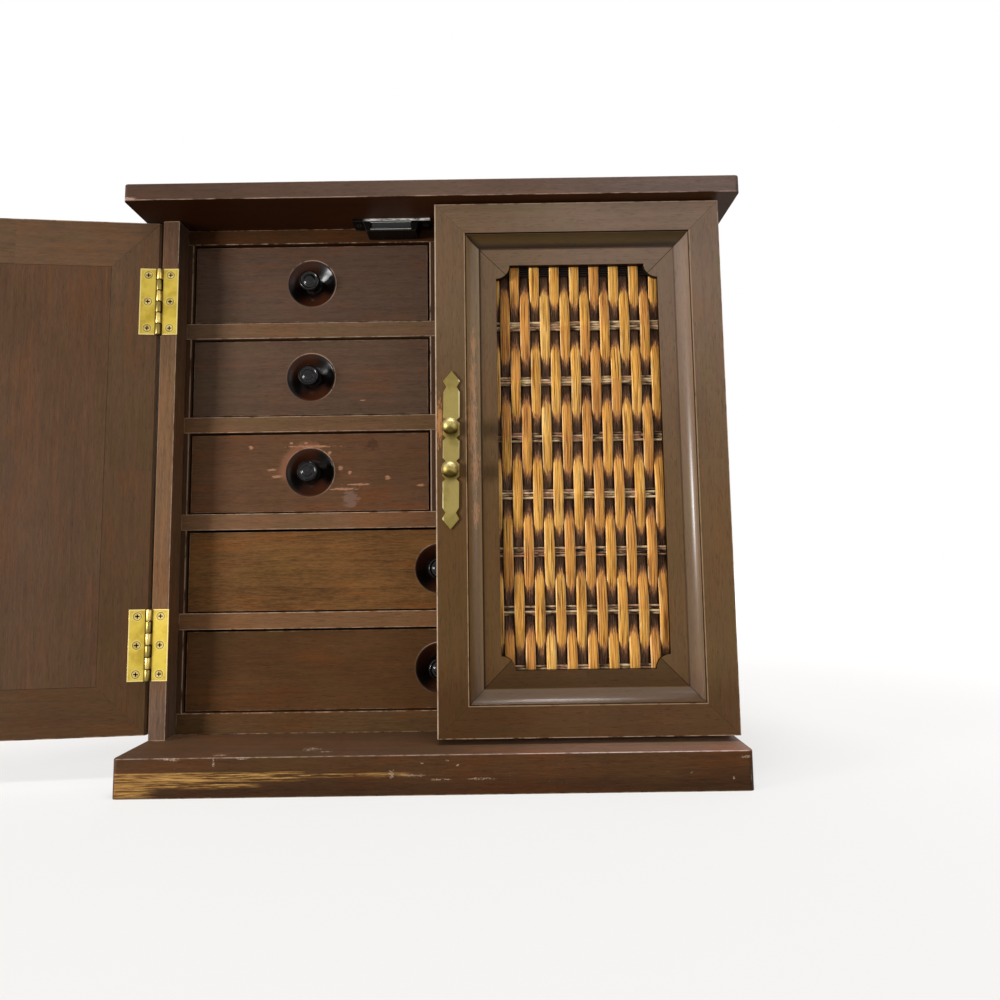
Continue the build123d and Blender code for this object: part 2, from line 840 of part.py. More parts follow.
def make_case_screws():
    """The screws of the hinges' case leaves and of the catches."""
    with BuildPart() as screws:
        with Locations(
            *[
                facing_front(side * (hinge_x - leaf_screw_offset), -leaf_thickness, z)
                for side in (-1, 1)
                for z in hinge_screw_levels()
            ]
        ):
            add(cross_head_screw(screw_length))
        with Locations(
            *[facing_down(x, y, z - catch_flange) for x, y, z in catch_screw_seats()]
        ):
            add(cross_head_screw(screw_length - 1))
    save(screws, "case_screws")


os.makedirs("parts", exist_ok=True)
rounded_slab(
    "base_board", half_case + base_side, -base_front, case_depth, 0,
    base_thickness, base_corner, base_round,
)
rounded_slab(
    "top_board", half_case + top_side, -top_front, case_depth + top_back, case_top,
    top_thickness, top_corner, top_round, catch_screw_seats(),
)
make_case_side("case_side_left", -1)
make_case_side("case_side_right", 1)
board("back_panel", -half_inside, half_inside, back_face, case_depth, base_thickness, case_top)
make_bank()
for row in range(row_count):
    if row < split_rows:
        make_drawer(f"drawer_left_{row + 1}", -half_bank, -divider_board / 2, row)
        make_drawer(f"drawer_right_{row + 1}", divider_board / 2, half_bank, row)
    else:
        make_drawer(f"drawer_wide_{row + 1}", -half_bank, half_bank, row)
make_hinges()
make_catches()
make_case_screws()
make_door("left", -1)
make_door("right", 1)
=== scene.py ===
import bpy
import json
from functools import partial, reduce
from math import cos, pi, radians, sin
from random import Random
from mathutils import Matrix, Vector, noise


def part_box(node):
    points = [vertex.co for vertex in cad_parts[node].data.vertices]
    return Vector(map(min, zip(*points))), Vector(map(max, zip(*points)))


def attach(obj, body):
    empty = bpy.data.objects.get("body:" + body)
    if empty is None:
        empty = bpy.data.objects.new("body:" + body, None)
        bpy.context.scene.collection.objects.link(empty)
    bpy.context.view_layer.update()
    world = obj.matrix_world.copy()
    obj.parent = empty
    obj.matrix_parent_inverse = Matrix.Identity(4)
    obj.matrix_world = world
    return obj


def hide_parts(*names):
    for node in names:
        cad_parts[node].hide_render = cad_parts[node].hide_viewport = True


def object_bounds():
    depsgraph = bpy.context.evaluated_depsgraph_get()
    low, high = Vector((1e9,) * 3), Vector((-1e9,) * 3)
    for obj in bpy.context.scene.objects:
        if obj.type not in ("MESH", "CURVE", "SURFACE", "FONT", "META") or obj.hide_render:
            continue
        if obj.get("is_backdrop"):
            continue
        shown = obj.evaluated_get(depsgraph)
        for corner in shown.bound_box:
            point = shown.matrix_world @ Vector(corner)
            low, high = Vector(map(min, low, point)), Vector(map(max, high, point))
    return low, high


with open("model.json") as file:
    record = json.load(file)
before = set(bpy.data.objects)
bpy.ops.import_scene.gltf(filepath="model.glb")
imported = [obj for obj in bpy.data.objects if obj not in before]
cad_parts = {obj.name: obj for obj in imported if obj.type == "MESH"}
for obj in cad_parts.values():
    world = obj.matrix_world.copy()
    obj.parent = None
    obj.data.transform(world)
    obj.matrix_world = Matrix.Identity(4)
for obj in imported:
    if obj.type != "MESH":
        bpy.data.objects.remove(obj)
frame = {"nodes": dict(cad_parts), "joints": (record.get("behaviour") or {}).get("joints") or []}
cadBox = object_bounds()
nodes = frame["nodes"]
joints = {joint["name"]: joint for joint in frame["joints"]}
mm = 0.001  # sizes below are in millimetres, and the scene is in metres


# Camera and light
camera = {
    "place": (34.875, -359.866, 113.483),
    "turn": (94.9885, 0.8215, 0.1474),  # degrees
    "lens": 23.76, "sensor": 36.0, "reach": (0.01, 50),
}
lamps = {
    # each as its place, its size and its watts
    "leftWindow": ((-1500, -790, 200), (420, 380), 31.0),
    "overhead": ((120, -160, 1400), (600, 300), 10.0),
    "rightFill": ((1100, -1000, 420), (700, 900), 3.0),
    "behind": ((-500, 1500, 800), (1300, 900), 16.0),
}
room = {
    "fill": 0.40,  # the world's strength on the object
    "white": 1.0,  # and where it is seen
    "floorColour": (152, 150, 147), "floorRough": 0.9, "floorGloss": 0.1,
    "floorGlow": 0.60,  # added where the floor is seen beside the object
    "floorNear": 300.0, "floorFar": 1100.0,  # it whitens between these distances
    "floorReach": 6000.0, "aim": (0, 60, 150),
}


def metres(point):
    return Vector(point) * mm


def boxOf(node):
    # a piece's lowest and highest corners in mm
    return [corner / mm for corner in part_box(node)]


def tint(*hue):
    # a colour as a screen shows it, from 0 to 255, for a shader
    parts = [value / 255 for value in hue]
    parts = [part / 12.92 if part <= 0.04045 else ((part + 0.055) / 1.055) ** 2.4 for part in parts]
    return (*parts, 1.0)


def addObject(name, data, place=(0, 0, 0)):
    made = bpy.data.objects.new(name, data)
    made.location = metres(place)
    bpy.context.scene.collection.objects.link(made)
    return made


def makeCamera():
    data = bpy.data.cameras.new("camera")
    data.lens, data.sensor_width = camera["lens"], camera["sensor"]
    data.clip_start, data.clip_end = camera["reach"]
    made = addObject("camera", data, camera["place"])
    made.rotation_euler = [radians(angle) for angle in camera["turn"]]
    bpy.context.scene.camera = made


def makeLamps():
    for name, (place, size, watts) in lamps.items():
        data = bpy.data.lights.new(name, "AREA")
        data.shape = "RECTANGLE"
        data.size, data.size_y = (side * mm for side in size)
        data.energy = watts
        made = addObject(name, data, place)
        facing = metres(room["aim"]) - made.location
        made.rotation_euler = facing.to_track_quat("-Z", "Y").to_euler()


makeCamera()
makeLamps()
bpy.context.scene.view_settings.view_transform = "Standard"
print("camera and", len(lamps), "lamps placed")


def operator(name, reflected=False):
    def made(self, other=0):
        first, second = (other, self) if reflected else (self, other)
        return self.paint.node("Math", {0: first, 1: second}, operation=name)
    return made


class Wire:
    # a node's output, which takes part in sums
    def __init__(self, paint, socket):
        self.paint, self.socket = paint, socket

    __add__, __radd__ = operator("ADD"), operator("ADD", True)
    __sub__, __rsub__ = operator("SUBTRACT"), operator("SUBTRACT", True)
    __mul__, __rmul__ = operator("MULTIPLY"), operator("MULTIPLY", True)
    __truediv__, __rtruediv__ = operator("DIVIDE"), operator("DIVIDE", True)
    __pow__, __rpow__ = operator("POWER"), operator("POWER", True)
    __lt__, __gt__ = operator("LESS_THAN"), operator("GREATER_THAN")
    __abs__, fraction = operator("ABSOLUTE"), operator("FRACT")
    least, most = operator("MINIMUM"), operator("MAXIMUM")


class Paint:
    # a material, or the world, with the nodes that make it up and the surface painted so far
    def __init__(self, name, owner=None):
        self.owner = owner or bpy.data.materials.new(name)
        self.owner.use_nodes = True
        self.tree = self.owner.node_tree
        self.tree.nodes.clear()
        self.at = self.stain = self.colour = self.rough = self.height = None
        self.gloss, self.sockets = 0.5, {}

    def node(self, kind, sockets, out=0, **settings):
        # its settings are set first, and then the values or links of its sockets
        made = self.tree.nodes.new("ShaderNode" + kind)
        for key, value in settings.items():
            if key == "stops":
                ramp = made.color_ramp.elements
                for place, colour in value[2:]:
                    ramp.new(place)
                for stop, (place, colour) in zip(ramp, value):
                    stop.position, stop.color = place, tint(*colour)
            else:
                setattr(made, key, value)
        for key, value in sockets.items():
            socket = made.inputs[key]
            if isinstance(value, Wire):
                self.tree.links.new(value.socket, socket)
            elif socket.type == "RGBA" and len(value) == 3:
                socket.default_value = tint(*value)
            else:
                socket.default_value = value
        return Wire(self, made.outputs[out]) if len(made.outputs) else None

    def mix(self, share, first, second, way="MIX"):
        sockets = {0: share, 6: first, 7: second}
        return self.node("Mix", sockets, 2, data_type="RGBA", blend_type=way, clamp_factor=True)

    def mixPlaces(self, share, first, second):
        return self.node("Mix", {0: share, 4: first, 5: second}, 1, data_type="VECTOR")

    def vector(self, operation, first, second):
        return self.node("VectorMath", {0: first, 1: second}, operation=operation)

    def point(self, x, y, z):
        return self.node("CombineXYZ", {0: x, 1: y, 2: z})

    def parts(self, vector):
        return [self.node("SeparateXYZ", {0: vector}, number) for number in range(3)]

    def fade(self, value, start, end, low=0.0, high=1.0):
        sockets = {0: value, 1: start, 2: end, 3: low, 4: high}
        return self.node("MapRange", sockets, interpolation_type="SMOOTHSTEP")

    def cloud(self, size, detail=3.0, rough=0.6, place=None):
        # noise whose lumps are about as large as size, in mm along each of the place's axes
        sides = size if isinstance(size, tuple) else (size, size, size)
        scaled = self.vector("MULTIPLY", place or self.at, tuple(1 / side for side in sides))
        sockets = {"Vector": scaled, "Scale": 1.0, "Detail": detail, "Roughness": rough}
        return self.node("TexNoise", sockets)

    def broken(self, start, end, *lumps):
        # 1 in some patches and 0 between them
        return self.fade(self.cloud(*lumps), start, end)

    def near(self, value, edge, reach):
        # fades in between two distances from an edge
        return self.fade(value, edge + reach[0], edge + reach[1])

    def place(self):
        # the piece's own coordinates in mm
        own = self.node("TexCoord", {}, "Object")
        return self.vector("MULTIPLY", own, (1 / mm,) * 3)

    def ramp(self, value, stops):
        return self.node("ValToRGB", {0: value}, stops=stops)

    def reading(self, name, out="Fac"):
        return self.node("Attribute", {}, out, attribute_name=name)

    def lay(self, share, hue, way="MIX"):
        self.colour = self.mix(share, self.colour, hue, way)

    def restainAndShade(self, share, after, before=None):
        # takes one colour to another, for a change of stain and for painted light and shade, and keeps
        # the grain that is on it
        pair = zip(tint(*after), tint(*(before or self.stain)))
        self.lay(share, tuple(new / old for new, old in pair), "MULTIPLY")

    def finish(self, bump=0.3, depth=0.15, **constants):
        # depth is how far a height of 1 stands, in mm
        relief = {"Strength": bump, "Distance": depth * mm, "Height": self.height}
        shader = self.node("BsdfPrincipled", {
            "Base Color": self.colour, "Roughness": self.rough,
            "Specular IOR Level": self.gloss, "Normal": self.node("Bump", relief),
            **self.sockets, **constants,
        })
        self.node("OutputMaterial", {"Surface": shader})
        return self.owner


def seenDirectly(paint):
    seen = paint.node("LightPath", {}, "Is Camera Ray")
    for ray in ("Is Glossy Ray", "Is Transmission Ray"):
        seen = seen.most(paint.node("LightPath", {}, ray))
    return seen


def makeRoom():
    # a white world, dimmer where it lights the object than where it is seen
    world = bpy.data.worlds.new("room")
    bpy.context.scene.world = world
    paint = Paint("room", world)
    strength = room["fill"] + seenDirectly(paint) * (room["white"] - room["fill"])
    shine = paint.node("Background", {"Color": (1, 1, 1, 1), "Strength": strength})
    paint.node("OutputWorld", {"Surface": shine})

    reach = room["floorReach"] * mm
    mesh = bpy.data.meshes.new("floor")
    corners = [(-reach, -reach, 0), (reach, -reach, 0), (reach, reach, 0), (-reach, reach, 0)]
    mesh.from_pydata(corners, [], [(0, 1, 2, 3)])
    floor = addObject("floor", mesh)
    paint = Paint("floor")
    away = paint.node("VectorMath", {0: paint.place()}, "Value", operation="LENGTH")
    white = paint.fade(away, room["floorNear"], room["floorFar"], room["floorGlow"], 1.0)
    shader = paint.node("BsdfPrincipled", {
        "Base Color": room["floorColour"],
        "Roughness": room["floorRough"],
        "Specular IOR Level": room["floorGloss"],
        "Emission Color": paint.mix(seenDirectly(paint) * white, (0, 0, 0, 1), (1, 1, 1, 1)),
        "Emission Strength": 1.0,
    })
    paint.node("OutputMaterial", {"Surface": shader})
    mesh.materials.append(paint.owner)
    floor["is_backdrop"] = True


makeRoom()
print("floor and world made")


# Places on the doors
hinges = {hand: joints[f"door_{hand}_hinge"]["pos_m"] for hand in ("left", "right")}
doors = {
    "opened": {"left": 174.0, "right": 0.0},  # degrees from shut, as the frame holds them
    "hand": {"left": -1, "right": 1},
}
shutLow, shutHigh = boxOf("door_right_frame")
doorSize = {
    "meeting": shutLow.x, "bottom": shutLow.z,
    "inner": shutHigh.y,  # the face that meets the case
    "width": shutHigh.x - shutLow.x, "height": shutHigh.z - shutLow.z,
    "thickness": shutHigh.y - shutLow.y,
}


def doorPoint(hand, fromMeeting, height, depth):
    # a place on the shut door, taken to where the frame holds that door
    x = doors["hand"][hand] * (doorSize["meeting"] + fromMeeting)
    shut = metres((x, doorSize["inner"] - depth, doorSize["bottom"] + height))
    pivot = Matrix.Translation(Vector(hinges[hand]))
    turn = Matrix.Rotation(radians(-doors["opened"][hand]), 4, "Z")
    return pivot @ turn @ pivot.inverted() @ shut


def doorPlace(paint, hand):
    # mm from the meeting edge, from the inner face and from the bottom edge of the shut door
    place = paint.place()
    if doors["opened"][hand]:
        turn = {"Center": Vector(hinges[hand]) / mm, "Angle": radians(doors["opened"][hand])}
        place = paint.node("VectorRotate", {"Vector": place, **turn}, rotation_type="Z_AXIS")
    x, y, z = paint.parts(place)
    fromMeeting = x * doors["hand"][hand] - doorSize["meeting"]
    return fromMeeting, doorSize["inner"] - y, z - doorSize["bottom"]


# Stained wood
woodLooks = {
    # the stain is the mean colour, and the shares say how strong each mark is
    "walnut": {
        "stain": (88, 65, 48), "contrast": 0.34, "arris": (160, 132, 106), "worn": 0.7,
        "rubbed": 0.40, "ring": 5.5, "pith": (-46, 21), "taper": 0.05, "wander": 3.0,
        "figure": 0.10, "streak": 0.75, "fleck": 1.0, "fibre": 0.8, "patch": 0.7,
        "warmth": 0.45, "green": 0.45, "pores": 0.42, "rough": 0.42, "gloss": 0.06,
    },
    "box": {
        "stain": (182, 150, 106), "contrast": 0.22, "arris": (214, 190, 150), "worn": 0.4,
        "rubbed": 0.44, "ring": 7.0, "pith": (-80, 30), "taper": 0.04, "wander": 3.0,
        "figure": 0.45, "streak": 0.6, "fleck": 0.3, "fibre": 0.3, "patch": 0.5,
        "warmth": 0.3, "green": 0.2, "pores": 0.20, "rough": 0.68, "gloss": 0.2,
    },
}
wear = {
    "chip": (206, 182, 156), "arris": (0.60, 0.15), "lumps": 6, "rubbed": (-0.04, 0.24),
    "warm": (1.24, 0.95, 0.70), "olive": (0.95, 1.08, 0.80), "pore": (0.34, 0.32, 0.30),
    "warmCast": (0.50, 0.68), "oliveCast": (0.48, 0.32), "pores": (0.58, 0.70),
}
grain = {
    # each layer's lumps across, inward and along the grain, then its detail and roughness
    "drift": ((55, 55, 380), 2.0, 0.55),
    "streak": ((2.1, 2.1, 42), 4.0, 0.66),
    "fleck": ((0.8, 0.8, 9), 3.0, 0.65),
    "fibre": ((0.45, 0.45, 3.6), 3.0, 0.7),
    "patch": ((24, 24, 46),),
    "cast": ((17, 17, 52), 4.0, 0.66),
    "pore": ((0.45, 0.45, 5.0), 2.0, 0.55),
    "castShift": (77, 31, 190), "spread": 900,
}


def look(kind="walnut", **changes):
    return {**woodLooks[kind], **changes}


def shade(stain, share):
    # a stain made lighter or darker
    return tuple(min(1.0, part * share) for part in tint(*stain))


def shifted(paint, place, seed):
    # moves a place to a fresh part of the tree
    chance, far = Random(seed), grain["spread"]
    return paint.vector("ADD", place, tuple(chance.uniform(-far, far) for axis in range(3)))


def stainedWood(paint, turned, style):
    # paints a board whose grain runs along Z of paint.at
    across, inward, along = turned
    drift = paint.cloud(*grain["drift"])
    sideways = across - style["pith"][0]
    inwards = inward + along * style["taper"] - style["pith"][1]
    spread = (sideways * sideways + inwards * inwards) ** 0.5
    ring = (spread / style["ring"] + drift * style["wander"]).fraction() ** 2.0
    streak, fleck, fibre, patch = (
        paint.cloud(*grain[layer]) - 0.5 for layer in ("streak", "fleck", "fibre", "patch")
    )
    cast = paint.cloud(*grain["cast"], paint.vector("ADD", paint.at, grain["castShift"]))
    pore = paint.broken(*wear["pores"], *grain["pore"])
    tone = 0.5 + streak * style["streak"] + fibre * style["fibre"] + patch * style["patch"]
    tone = tone + fleck * style["fleck"] - (ring - 0.33) * style["figure"]
    paint.stain, contrast = style["stain"], style["contrast"]
    paint.colour = paint.mix(tone, shade(paint.stain, 1 - contrast), shade(paint.stain, 1 + contrast))
    glow = paint.fade(cast + streak * 0.6, *wear["warmCast"]) * style["warmth"]
    paint.lay(glow, (*wear["warm"], 1.0), "MULTIPLY")
    green = paint.fade(cast + streak * 0.4, *wear["oliveCast"]) * style["green"]
    paint.lay(green, (*wear["olive"], 1.0), "MULTIPLY")
    paint.lay(pore * style["pores"], (*wear["pore"], 1.0), "MULTIPLY")
    paint.rough = style["rough"] + fibre * 0.14 + patch * 0.12 + pore * 0.10
    paint.height = fibre * 0.4 + fleck * 0.4 + streak * 0.4 - pore * 0.6
    paint.gloss = style["gloss"]


def shiftStainAndLight(paint, style, where):
    # the colour shifts between two places along an axis, for changes of stain and for painted light and
    # shade
    for axis, start, end, after in style.get("washes", []):
        paint.restainAndShade(paint.fade(where[axis], start, end), after)


def boardPaint(name, node, style, along, seed, marks=None):
    # a board's paint with its arrises worn pale in places
    paint = Paint(name)
    place, (low, high) = paint.place(), boxOf(node)
    x, y, z = paint.parts(place)
    turned = {"x": (z, y, x), "y": (x, z, y), "z": (x, y, z)}[along]
    paint.at = shifted(paint, paint.point(*turned), seed)
    stainedWood(paint, turned, style)
    paint.at = place
    spans = zip((x, y, z), low, high)
    first, second, third = ((value - start).least(end - value) for value, start, end in spans)
    edge = first.least(second).most(first.most(second).least(third))
    rub = paint.cloud(wear["lumps"], 4.0, 0.65)
    worn = paint.fade(edge, *wear["arris"])
    worn = worn * paint.near(rub, style["rubbed"], wear["rubbed"]) * style["worn"]
    shiftStainAndLight(paint, style, {"x": x, "z": z})
    paint.lay(worn, style["arris"])
    if marks:
        marks(paint, x, y, z, low, high)
    return paint.finish()


easing = {"weld": 0.002, "steps": 2, "angle": 40}  # edges sharper than this angle are rounded


def dress(node, material, softened=0.0):
    # gives a frame piece its material, and eases its sharp edges
    piece = nodes[node]
    for slot in piece.material_slots:
        slot.material = material
    if softened:
        weld = piece.modifiers.new("weld", "WELD")
        weld.merge_threshold = easing["weld"] * mm
        ease = piece.modifiers.new("ease", "BEVEL")
        ease.width, ease.segments = softened * mm, easing["steps"]
        ease.limit_method, ease.angle_limit = "ANGLE", radians(easing["angle"])
        ease.use_clamp_overlap = True
        ease.harden_normals = True


# The case
base = {
    "style": look(
        stain=(79, 53, 32), arris=(152, 126, 100), worn=0.75, rubbed=0.36,
        streak=0.8, patch=0.8, warmth=0.6, washes=[("z", 12, 3, (66, 43, 26))],
    ),
    # the upper face's colours, the second of them painted light towards the right end
    "upper": (92, 67, 50), "paintedLightRight": (128, 98, 82), "upperBack": (92, 66, 47),
    "bare": (202, 156, 88), "bareDark": (124, 84, 40), "between": (58, 38, 26),
    # bare wood along the front, each as from and to across, and then low and high
    "strands": [
        (-175, -138, 0.6, 12.2), (-142, -110, 4.5, 12.2), (-120, -64, 7.6, 12.0),
        (-72, -8, 9.2, 10.8), (-118, -86, 4.6, 6.8),
    ],
    "strandEnds": ((-6, 3), (5, -7)), "strandSides": ((-0.5, 0.9), (0.3, -0.3)),
    "bareEdge": (0.46, 0.54), "bareFull": (-100, -160), "bareThin": (-80, -50),
    "darkEnd": (-20, -70), "darkTop": (12.5, 11),
    # small marks, each as across, up, half width and half height
    "chips": [
        (-126.5, 18.5, 3.6, 0.6), (-92.5, 18.5, 2.6, 0.5), (-106, 16.2, 0.4, 1.8),
        (-19.8, 10.2, 1.0, 1.5), (23, 7.5, 5, 0.4), (-9, 9.4, 5.5, 0.35), (4, 7.4, 4, 0.3),
        (151.5, 16.0, 2.4, 0.5), (145.2, 6.1, 0.5, 0.5), (125, 9.2, 0.5, 0.4),
        (-5, 15, 0.8, 0.35), (7, 16.2, 0.7, 0.3), (12, 14, 0.9, 0.3), (154, 7, 0.5, 2.4),
    ],
    # and on the upper face, across and back
    "upperChips": [(-104, -27.5, 2.4, 1.6), (-62, -19, 2.6, 2.4), (-54, -24, 2.8, 0.9)],
    "front": (0.6, 0.1), "face": (-0.6, -0.2), "lit": (0, 90), "back": (9, 17),
    "rag": ((24, 8, 1.0), 5.0, 0.75), "strand": ((48, 8, 0.40), 4.0, 0.75),
    "hair": ((11, 8, 0.26), 3.0, 0.7), "specks": ((1.1, 1.1, 0.55), 3.0, 0.65),
}
top = {
    "style": look(
        stain=(98, 77, 66), arris=(176, 146, 130), worn=0.7, rubbed=0.44,
        contrast=0.26, green=0.2, warmth=0.25,
        # darker towards the left end and lighter and greyer towards the right end, a painted sheen
        washes=[("x", 20, -140, (78, 58, 47)), ("x", 30, 150, (106, 90, 82))],
    ),
    # the underside's colour is painted shade
    "underside": (64, 36, 18), "chip": (3, 0.6, 5.0, 0.9),
    "under": (0.35, 0.1), "front": (0.5, 0.1), "arris": (1.1, 0.5), "corner": (0.9, 0.5),
}
sides = {
    "style": look(
        stain=(112, 83, 58), arris=(168, 142, 116), worn=0.8, rubbed=0.34, contrast=0.46,
        streak=1.1, fleck=1.0, fibre=0.9, patch=0.5, warmth=0.5,
        washes=[("z", 200, 300, (88, 66, 51)), ("z", 70, 30, (106, 82, 66))],
    ),
    # the inner face's colour is painted shade
    "inner": (102, 75, 53), "innerFace": (0.5, 0.1),
}
rails = {
    "railStainsAndShade": {
        "shelf_1": (105, 80, 59), "shelf_2": (103, 76, 53), "shelf_3": (111, 80, 56),
        # the top rail's dark colour is partly its stain and partly painted shade under the top's
        # overhang
        "shelf_4": (113, 81, 54), "top_rail": (63, 41, 23), "bottom_rail": (85, 61, 38),
    },
    "seeds": (31, 32, 33, 34, 40, 41), "red": ("top_rail", "bottom_rail"),
    "wear": {"arris": (184, 156, 132), "worn": 0.9, "rubbed": 0.36},
}
panelStain = (84, 60, 42)
uprights = {
    # the rubbed arris of each, by its distances from the outer edge and from the front
    "stain": (70, 49, 34), "rub": (0.34, 0.52, (4, 4, 12)),
    "side_guides": {"arris": (148, 122, 102), "line": (2.35, 2.75), "front": (0.7, 0.3)},
    "centre_dividers": {"arris": (184, 156, 132), "line": (0.9, 0.4), "front": (0.8, 0.4)},
}


markEdge = (1.35, 0.75)  # where a mark begins and is full, as shares of its half size


def markAt(paint, across, up, marks, rag):
    # how far a place lies in any of a list of ragged marks
    def mark(sideways, rise, half, tall):
        aside, above = (across - sideways) / half, (up - rise) / tall
        return paint.fade((aside * aside + above * above) ** 0.5 + rag, *markEdge)

    return reduce(Wire.most, [mark(*place) for place in marks])


def baseMarks(paint, x, y, z, low, high):
    # the base's front is rubbed through to yellow wood, most at its left end
    front = paint.near(y, low.y, base["front"])
    upper = paint.near(z, high.z, base["face"])
    paint.restainAndShade(upper, base["upper"])
    # painted light: the upper face grows lighter towards the right end
    lit = upper * paint.fade(x, *base["lit"])
    paint.restainAndShade(lit, base["paintedLightRight"], base["upper"])
    back = upper * paint.near(y, low.y, base["back"])
    paint.restainAndShade(back, base["upperBack"], base["upper"])
    rag = paint.cloud(*base["rag"]) - 0.5
    strand, hair = paint.cloud(*base["strand"]), paint.cloud(*base["hair"])
    bands = []
    (begin, finish), (floor, ceiling) = base["strandEnds"], base["strandSides"]
    for start, end, bottom, above in base["strands"]:
        along = paint.near(x + rag * 26, start, begin) * paint.near(x + rag * 30, end, finish)
        band = paint.near(z + rag * 2.4, bottom, floor)
        bands.append(band * paint.near(z + rag * 1.0, above, ceiling) * along)
    full = paint.fade(x, *base["bareFull"]) * 0.07 - paint.fade(x, *base["bareThin"]) * 0.05
    edge = paint.fade(strand + (hair - 0.5) * 0.7 + full, *base["bareEdge"])
    bare = reduce(Wire.most, bands) * edge * front
    bright = paint.fade(strand + (hair - 0.5) * 1.2, 0.42, 0.70)
    yellow = paint.mix(bright, base["bareDark"], base["bare"])
    dark = front * paint.fade(z, *base["darkTop"]) * paint.fade(x, *base["darkEnd"])
    dark = dark * paint.fade(hair, 0.42, 0.62) * 0.5
    paint.restainAndShade(dark, base["between"])
    paint.lay(bare * 0.92, yellow)
    specks = paint.cloud(*base["specks"])
    patchy = paint.broken(0.40, 0.56, (0.9, 0.9, 0.45), 2.0)
    chips = markAt(paint, x, z, base["chips"], (specks - 0.5) * 4.6) * front * patchy
    loose = paint.fade(specks, 0.70, 0.74) * paint.broken(0.54, 0.62, 24, 2.0, 0.5)
    above = markAt(paint, x, y, base["upperChips"], (specks - 0.5) * 6.0) * upper * patchy
    chips = chips.most(above)
    paint.lay(chips.most(loose * 0.7) * 0.5, wear["chip"])
    paint.rough += bare * 0.2
    paint.height = paint.height - bare * 0.4 - chips * 0.3


def topMarks(paint, x, y, z, low, high):
    # the top's underside is painted nearly black as painted shade, and its lower front arris is chipped
    # pale
    under = paint.near(z, low.z, top["under"])
    paint.restainAndShade(under, top["underside"])
    rag = paint.cloud((7, 3, 1.6), 4.0, 0.7)
    lower = paint.near(z + rag * 0.9, low.z, top["arris"]) * paint.near(y, low.y, top["front"])
    chips = lower * paint.broken(0.44, 0.58, (16, 3, 2), 4.0, 0.65)
    corner = markAt(paint, x - low.x, z - low.z, [top["chip"]], (rag - 0.5) * 3.0)
    chips = chips.most(corner * paint.near(y, low.y, top["corner"]))
    paint.lay(chips * 0.75, top["style"]["arris"])


def sideMarks(paint, x, y, z, low, high):
    # the inner face is painted darker than the front edge, as painted shade in the niche
    inner = paint.near(abs(x), min(abs(low.x), abs(high.x)), sides["innerFace"])
    paint.restainAndShade(inner, sides["inner"])


def uprightMarks(node, paint, x, y, z, low, high):
    # the front arris nearest the middle of the case is rubbed
    own = uprights[node]
    line = paint.fade(high.x - abs(x), *own["line"]) * paint.near(y, low.y, own["front"])
    rub = paint.broken(*uprights["rub"])
    paint.lay(line * rub * 0.85, own["arris"])


def caseFinish():
    # each board as its look, the axis of its grain, its seed, its marks and how far it is eased
    boards = {
        "base_board": (base["style"], "x", 11, baseMarks, 0.3),
        "top_board": (top["style"], "x", 12, topMarks, 0.3),
        "case_side_left": (sides["style"], "z", 20, sideMarks, 0.35),
        "case_side_right": (sides["style"], "z", 21, sideMarks, 0.35),
        "back_panel": (look(stain=panelStain, worn=0.4), "z", 60, None, 0.2),
    }
    for number, (node, stain) in enumerate(rails["railStainsAndShade"].items()):
        red = {"worn": 0.8, "rubbed": 0.42, "warmth": 0.7} if node in rails["red"] else {}
        style = look(**{"stain": stain, **rails["wear"], **red})
        boards[node] = (style, "x", rails["seeds"][number], None, 0.35)
    for number, node in enumerate(("centre_dividers", "side_guides")):
        style = look(stain=uprights["stain"], worn=0.0)
        boards[node] = (style, "z", 50 + number, partial(uprightMarks, node), 0.3)
    for node, (style, along, seed, marks, softened) in boards.items():
        dress(node, boardPaint(node + "Wood", node, style, along, seed, marks), softened)


caseFinish()
print("case finished")


# Drawers
drawers = {
    # each front's stain, and how strong its marks are
    "drawer_left_1": {"stain": (84, 64, 52), "warmth": 0.6, "streak": 0.55, "fleck": 0.8},
    "drawer_left_2": {"stain": (88, 67, 53), "warmth": 0.7, "streak": 0.55, "fleck": 0.8},
    "drawer_left_3": {"stain": (92, 64, 44), "warmth": 0.8},
    "drawer_wide_4": {
        "stain": (103, 70, 38), "warmth": 0.55, "figure": 0.22, "patch": 1.2, "contrast": 0.46,
        "fleck": 1.4, "fibre": 1.4, "streak": 0.5,
        "ring": 8.0, "wander": 9.0,
    },
    "drawer_wide_5": {"stain": (80, 53, 29), "warmth": 0.7, "patch": 0.9},
    "drawer_right_1": {"stain": (83, 63, 50), "warmth": 0.5},
    "drawer_right_2": {"stain": (87, 65, 50), "warmth": 0.6},
    "drawer_right_3": {"stain": (90, 64, 46), "warmth": 0.6},
}
drawerWear = {"worn": 0.6, "rubbed": 0.46, "arris": (150, 124, 104)}
dish = {
    "radius": 14.0, "bowl": (-0.05, -0.35), "ring": (0.41, 0.16), "ringBeyond": 0.12,
    # the bowl is black, with brown painted in below and above the knob as a painted reflection
    "black": (14, 9, 6), "reflectedBrown": (56, 28, 15), "ringColour": (158, 130, 110),
    "reflectionBelow": (-0.50, -1.0), "reflectionAbove": (0.35, 1.2), "reflectionOut": (4.0, 11.0),
    "rear": (150, 116, 78), "rearFace": (-0.3, -0.05),
    "coat": {"Coat IOR": 1.17, "Coat Roughness": 0.16},
}
knob = {"black": (14, 12, 12), "dust": (34, 28, 26), "rough": 0.13, "gloss": 0.26}
